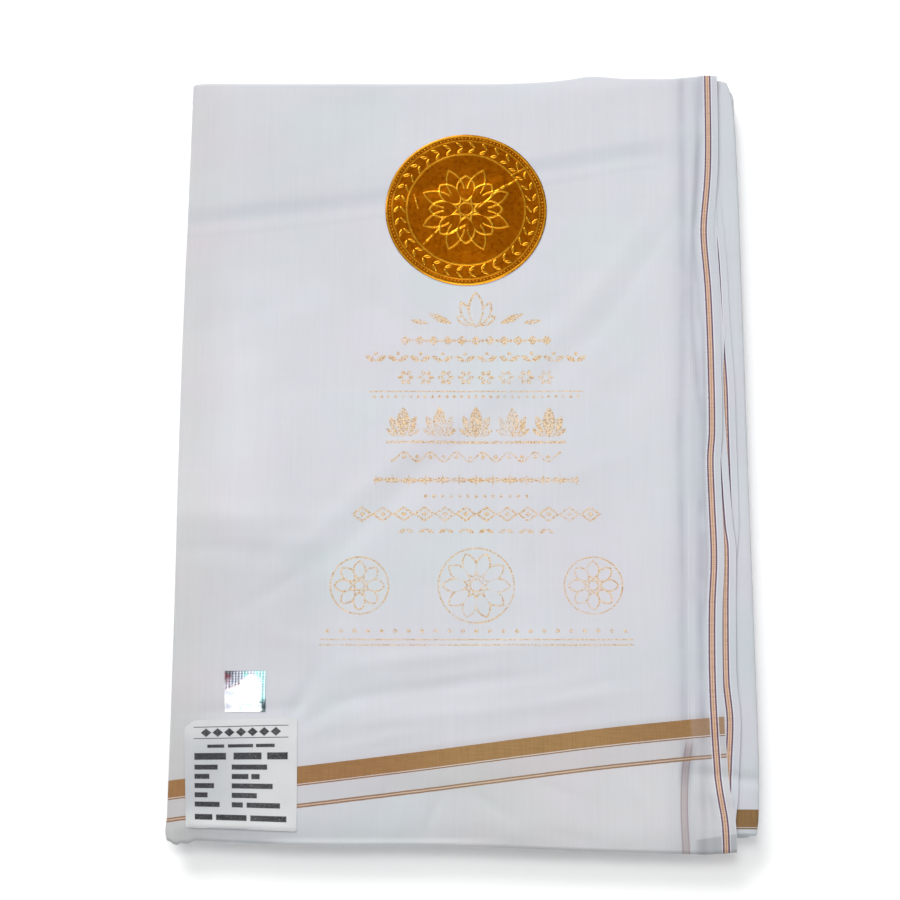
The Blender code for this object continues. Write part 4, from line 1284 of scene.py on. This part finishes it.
def side_points(corners, each, corner_radius=0.0):
    """Points round an outline, so many to each side, with its corners rounded."""
    points = []
    for k, corner in enumerate(corners):
        here, ahead_corner = Vector(corner), Vector(corners[(k + 1) % len(corners)])
        back = (Vector(corners[k - 1]) - here).normalized() * corner_radius
        ahead = (ahead_corner - here).normalized() * corner_radius
        turn = evenly(8) if corner_radius else [1.0]
        points += [here + back * (1 - t) ** 2 + ahead * t ** 2 for t in turn]
        points += [(here + ahead).lerp(ahead_corner - ahead, step / each) for step in range(1, each)]
    return [tuple(point) for point in points]


def make_silver_film():
    """Silver film: a coloured grating, and the white glare of the lights over part of it."""
    material, tree, shader, place = new_material("silver_film", {"Metallic": 0.55})
    x, y, _ = (part * METRE for part in parts_of(tree, place))
    x, y = x - FILM_X, y - FILM_Y
    patch = mottled(tree, place, 190.0, 3.0, Distortion=0.6)
    ragged = (patch - 0.5) * 7.0
    # White glare, below two slanting edges and left of the last columns of the grating.
    glare = ((x * 0.58 - y * 0.81 + 6.8) + ragged).least(-x + 9.0 + ragged)
    glare = glare.least(-x * 0.60 - y + 12.6 + ragged * 1.4).eased(-0.6, 1.4)
    columns = (x * COLUMN_RATE).math("SINE").eased(-0.15, 0.55)
    rows = (y * ROW_RATE + ragged * 0.4).math("SINE").eased(-0.95, -0.25)
    hue = graded(tree, (patch - 0.5) * 1.6 + (x * 0.036 + 0.50), FILM_HUES).outputs["Color"]
    corner = (x - y - 15.0).eased(0.0, 5.0, 1.0, 0.25) * (y - x - 14.0).eased(0.0, 5.0, 1.0, 0.35)
    grating = mixed(tree, 1.0, hue, grey_of(tree, ((columns * rows) * 0.62 + 0.38) * corner), "MULTIPLY")
    pastel_share = ((patch - 0.52) * 6.5 + y * 0.045).math("MULTIPLY", 1.0, clamp=True)
    feed(shader, {
        "Base Color": mixed(tree, glare, grating, mixed(tree, pastel_share, (1.0, 1.0, 1.0), hue)),
        "Roughness": glare * 0.35 + 0.18,
        "Normal": bumped(tree, columns * 0.4 + patch, 0.3, 0.0001),
    })
    return material


film_outline = side_points(FILM_CORNERS, FILM_SIDE_STEPS)
film_mesh = laid_sticker("hologram_film", film_outline, FILM_RINGS, make_silver_film(), FILM_THICK)
show("hologram_film", film_mesh, "hologram_square")


# ---------------------------------------------------------------------------------------------------------
# The paper label: white coated paper with rounded corners, stuck over the folded corner. It is ruled like
# a blank form. One corner has torn off in handling.

LABEL_CORNERS = (
    (-0.1519, -0.2173), (-0.0912, -0.2196), (-0.0919, -0.1568), (-0.1491, -0.1585), (-0.1545, -0.1624),
)
LABEL_ROUNDING, LABEL_THICK = 0.0016, 0.00012
LABEL_SIDE_STEPS, LABEL_RINGS = 26, 44
LABEL_WIDTH, LABEL_HEIGHT = 60.0, 62.0      # millimetres
LABEL_BARS = (  # up the label, height, and where each dark bar starts and ends across it, in millimetres
    (46.8, 1.9, ((12.0, 21.0), (23.0, 36.5), (38.0, 48.0))),
    (41.0, 3.9, ((5.0, 22.0), (26.0, 41.0), (44.0, 55.0))),
    (34.8, 2.9, ((5.0, 17.5), (25.0, 44.0))),
    (29.5, 2.9, ((5.0, 13.0), (25.0, 34.0), (35.5, 40.0))),
    (24.2, 2.9, ((5.0, 15.5), (25.0, 47.0))),
    (18.9, 2.9, ((5.0, 12.0), (25.0, 38.5))),
    (13.6, 2.9, ((5.0, 18.5), (25.0, 31.0), (33.0, 51.0))),
    (6.4, 3.2, ((5.0, 14.5), (16.5, 33.0), (35.0, 54.5))),
)
LOZENGE_PITCH, LOZENGE_UP = 6.2, 54.6
HALF_WIDE, HALF_HIGH = 2.8, 2.5     # of a lozenge
RULE_OFF, RULE_REACH, RULE_HALF = 3.3, 25.0, 0.22   # off the lozenges, half its length, half its width


def label_share(x, y):
    """How far across and up the label a place is, from 0 to 1, between sides that aren't quite square."""
    left, near = LABEL_CORNERS[0]
    up = (y - (near - (x - left) * 0.038)) / (0.0588 + (x - left) * 0.066)
    over = (x - (left - up * 0.0026)) / (0.0607 + up * 0.0019)
    return over, up


def make_label_paper():
    """Coated paper, printed in black with what a blank form has."""
    material, tree, shader, place = new_material("label_paper", {"Specular IOR Level": 0.45})
    over, up = stored_on(tree, "over") * LABEL_WIDTH, stored_on(tree, "up") * LABEL_HEIGHT
    # Over the bars, a row of lozenges between two rules.
    beside = over - LABEL_WIDTH / 2
    spot = beside - (beside / LOZENGE_PITCH).math("ROUND").most(-3.0).least(3.0) * LOZENGE_PITCH
    drawn = [
        abs(abs(up - LOZENGE_UP) - RULE_OFF).most(abs(beside) - RULE_REACH) - RULE_HALF,
        (abs(spot) / HALF_WIDE + abs(up - LOZENGE_UP) / HALF_HIGH - 1.0) * 1.8,
    ]
    for bar_up, height, stretches in LABEL_BARS:
        inked = [abs(over - (start + end) / 2) - (end - start) / 2 for start, end in stretches]
        drawn.append(reduce(Measure.least, inked).most(abs(up - bar_up) - height / 2))
    ink = (reduce(Measure.least, drawn) * -4.0).math("ADD", 0.5, clamp=True)
    mottle, fibre = mottled(tree, place, 55.0, 3.0), mottled(tree, place, 1400.0)
    tone = ((mottle - 0.5) * 0.9 + (fibre - 0.5) * 0.3).math("ADD", 0.5, clamp=True)
    paper = graded(tree, tone, ((0, (0.475, 0.487, 0.50)), (1, (0.600, 0.612, 0.608)))).outputs["Color"]
    # The paper is greyer, a little bluish, over a patch on its left.
    left_grey_patch = over.eased(44.0, 12.0) * up.eased(3.0, 16.0) * up.eased(60.0, 42.0)
    paper = mixed(tree, left_grey_patch, paper, (0.80, 0.81, 0.84), "MULTIPLY")
    inked_share = ink * (fibre.eased(0.30, 0.50) * 0.15 + 0.84)
    feed(shader, {
        "Base Color": mixed(tree, inked_share, paper, (0.006, 0.006, 0.010)),
        "Roughness": (mottle - 0.5) * 0.3 + 0.42,
        "Normal": bumped(tree, mottle, 0.25, 0.0003),
    })
    return material


label_mesh = laid_sticker(
    "paper_label_face", side_points(LABEL_CORNERS, LABEL_SIDE_STEPS, LABEL_ROUNDING), LABEL_RINGS,
    make_label_paper(), LABEL_THICK,
    measures={"over": lambda x, y: label_share(x, y)[0], "up": lambda x, y: label_share(x, y)[1]},
)
show("paper_label_face", label_mesh, "paper_label")


# ---------------------------------------------------------------------------------------------------------
# The stage, which is no part of the object: a plain pale floor that it lies on, soft studio lights, and the
# camera, which looks down from nearly overhead.

FLOOR_REACH = 20
CAMERA_TILT = 15.6          # degrees off the vertical
SOFTBOXES = (
    # name, place, power in watts, size across, size along
    ("key_softbox", (-1.25, 2.80, 2.10), 128.0, 2.4, 1.8),
    ("overhead_softbox", (0.03, 0.03, 0.78), 2.05, 0.36, 0.36),
    ("left_softbox", (-1.90, 0.10, 1.20), 4.0, 1.2, 0.9),
    ("right_softbox", (1.60, -0.35, 0.80), 6.0, 0.9, 0.6),
    ("near_softbox", (0.10, -1.90, 1.00), 4.0, 1.2, 0.6),
)

floor_mesh = bpy.data.meshes.new("pale_floor")
floor_corners = [(x * FLOOR_REACH, y * FLOOR_REACH, 0) for x, y in ((-1, -1), (1, -1), (1, 1), (-1, 1))]
floor_mesh.from_pydata(floor_corners, [], [(0, 1, 2, 3)])
floor_material, floor_tree, floor_shader, floor_place = new_material("pale_floor", {
    "Roughness": 0.9, "Emission Color": (1.0, 1.0, 1.0, 1.0), "Emission Strength": 0.10,
})
floor_stops = ((0, (0.93, 0.93, 0.93)), (1, (0.95, 0.95, 0.95)))
floor_ramp = graded(floor_tree, mottled(floor_tree, floor_place, 2.0), floor_stops)
feed(floor_shader, {"Base Color": floor_ramp.outputs["Color"]})
floor_mesh.materials.append(floor_material)
floor = bpy.data.objects.new("pale_floor", floor_mesh)
bpy.context.scene.collection.objects.link(floor)

world = bpy.data.worlds.new("studio")
world.use_nodes = True
feed(world.node_tree.nodes["Background"], {"Color": (0.98, 0.99, 1.0, 1.0), "Strength": 0.335})
bpy.context.scene.world = world

for name, place, power, size_x, size_y in SOFTBOXES:
    light = bpy.data.lights.new(name, "AREA")
    light.shape = "RECTANGLE"
    light.size, light.size_y = size_x, size_y
    light.energy = power
    lamp = bpy.data.objects.new(name, light)
    lamp.location = place
    lamp.rotation_euler = (Vector((0, 0, 0)) - Vector(place)).to_track_quat("-Z", "Y").to_euler()
    bpy.context.scene.collection.objects.link(lamp)

camera_data = bpy.data.cameras.new("camera")
camera_data.lens = 88.92
camera_data.sensor_width = 36.0
camera_data.shift_x = -0.01333
camera_data.clip_start = 0.01
camera = bpy.data.objects.new("camera", camera_data)
camera.location = (-0.0006, -0.34557, 1.246)
camera.rotation_euler = (radians(CAMERA_TILT), 0.0, 0.0)
bpy.context.scene.collection.objects.link(camera)
bpy.context.scene.camera = camera
bpy.context.scene.view_settings.view_transform = "Standard"
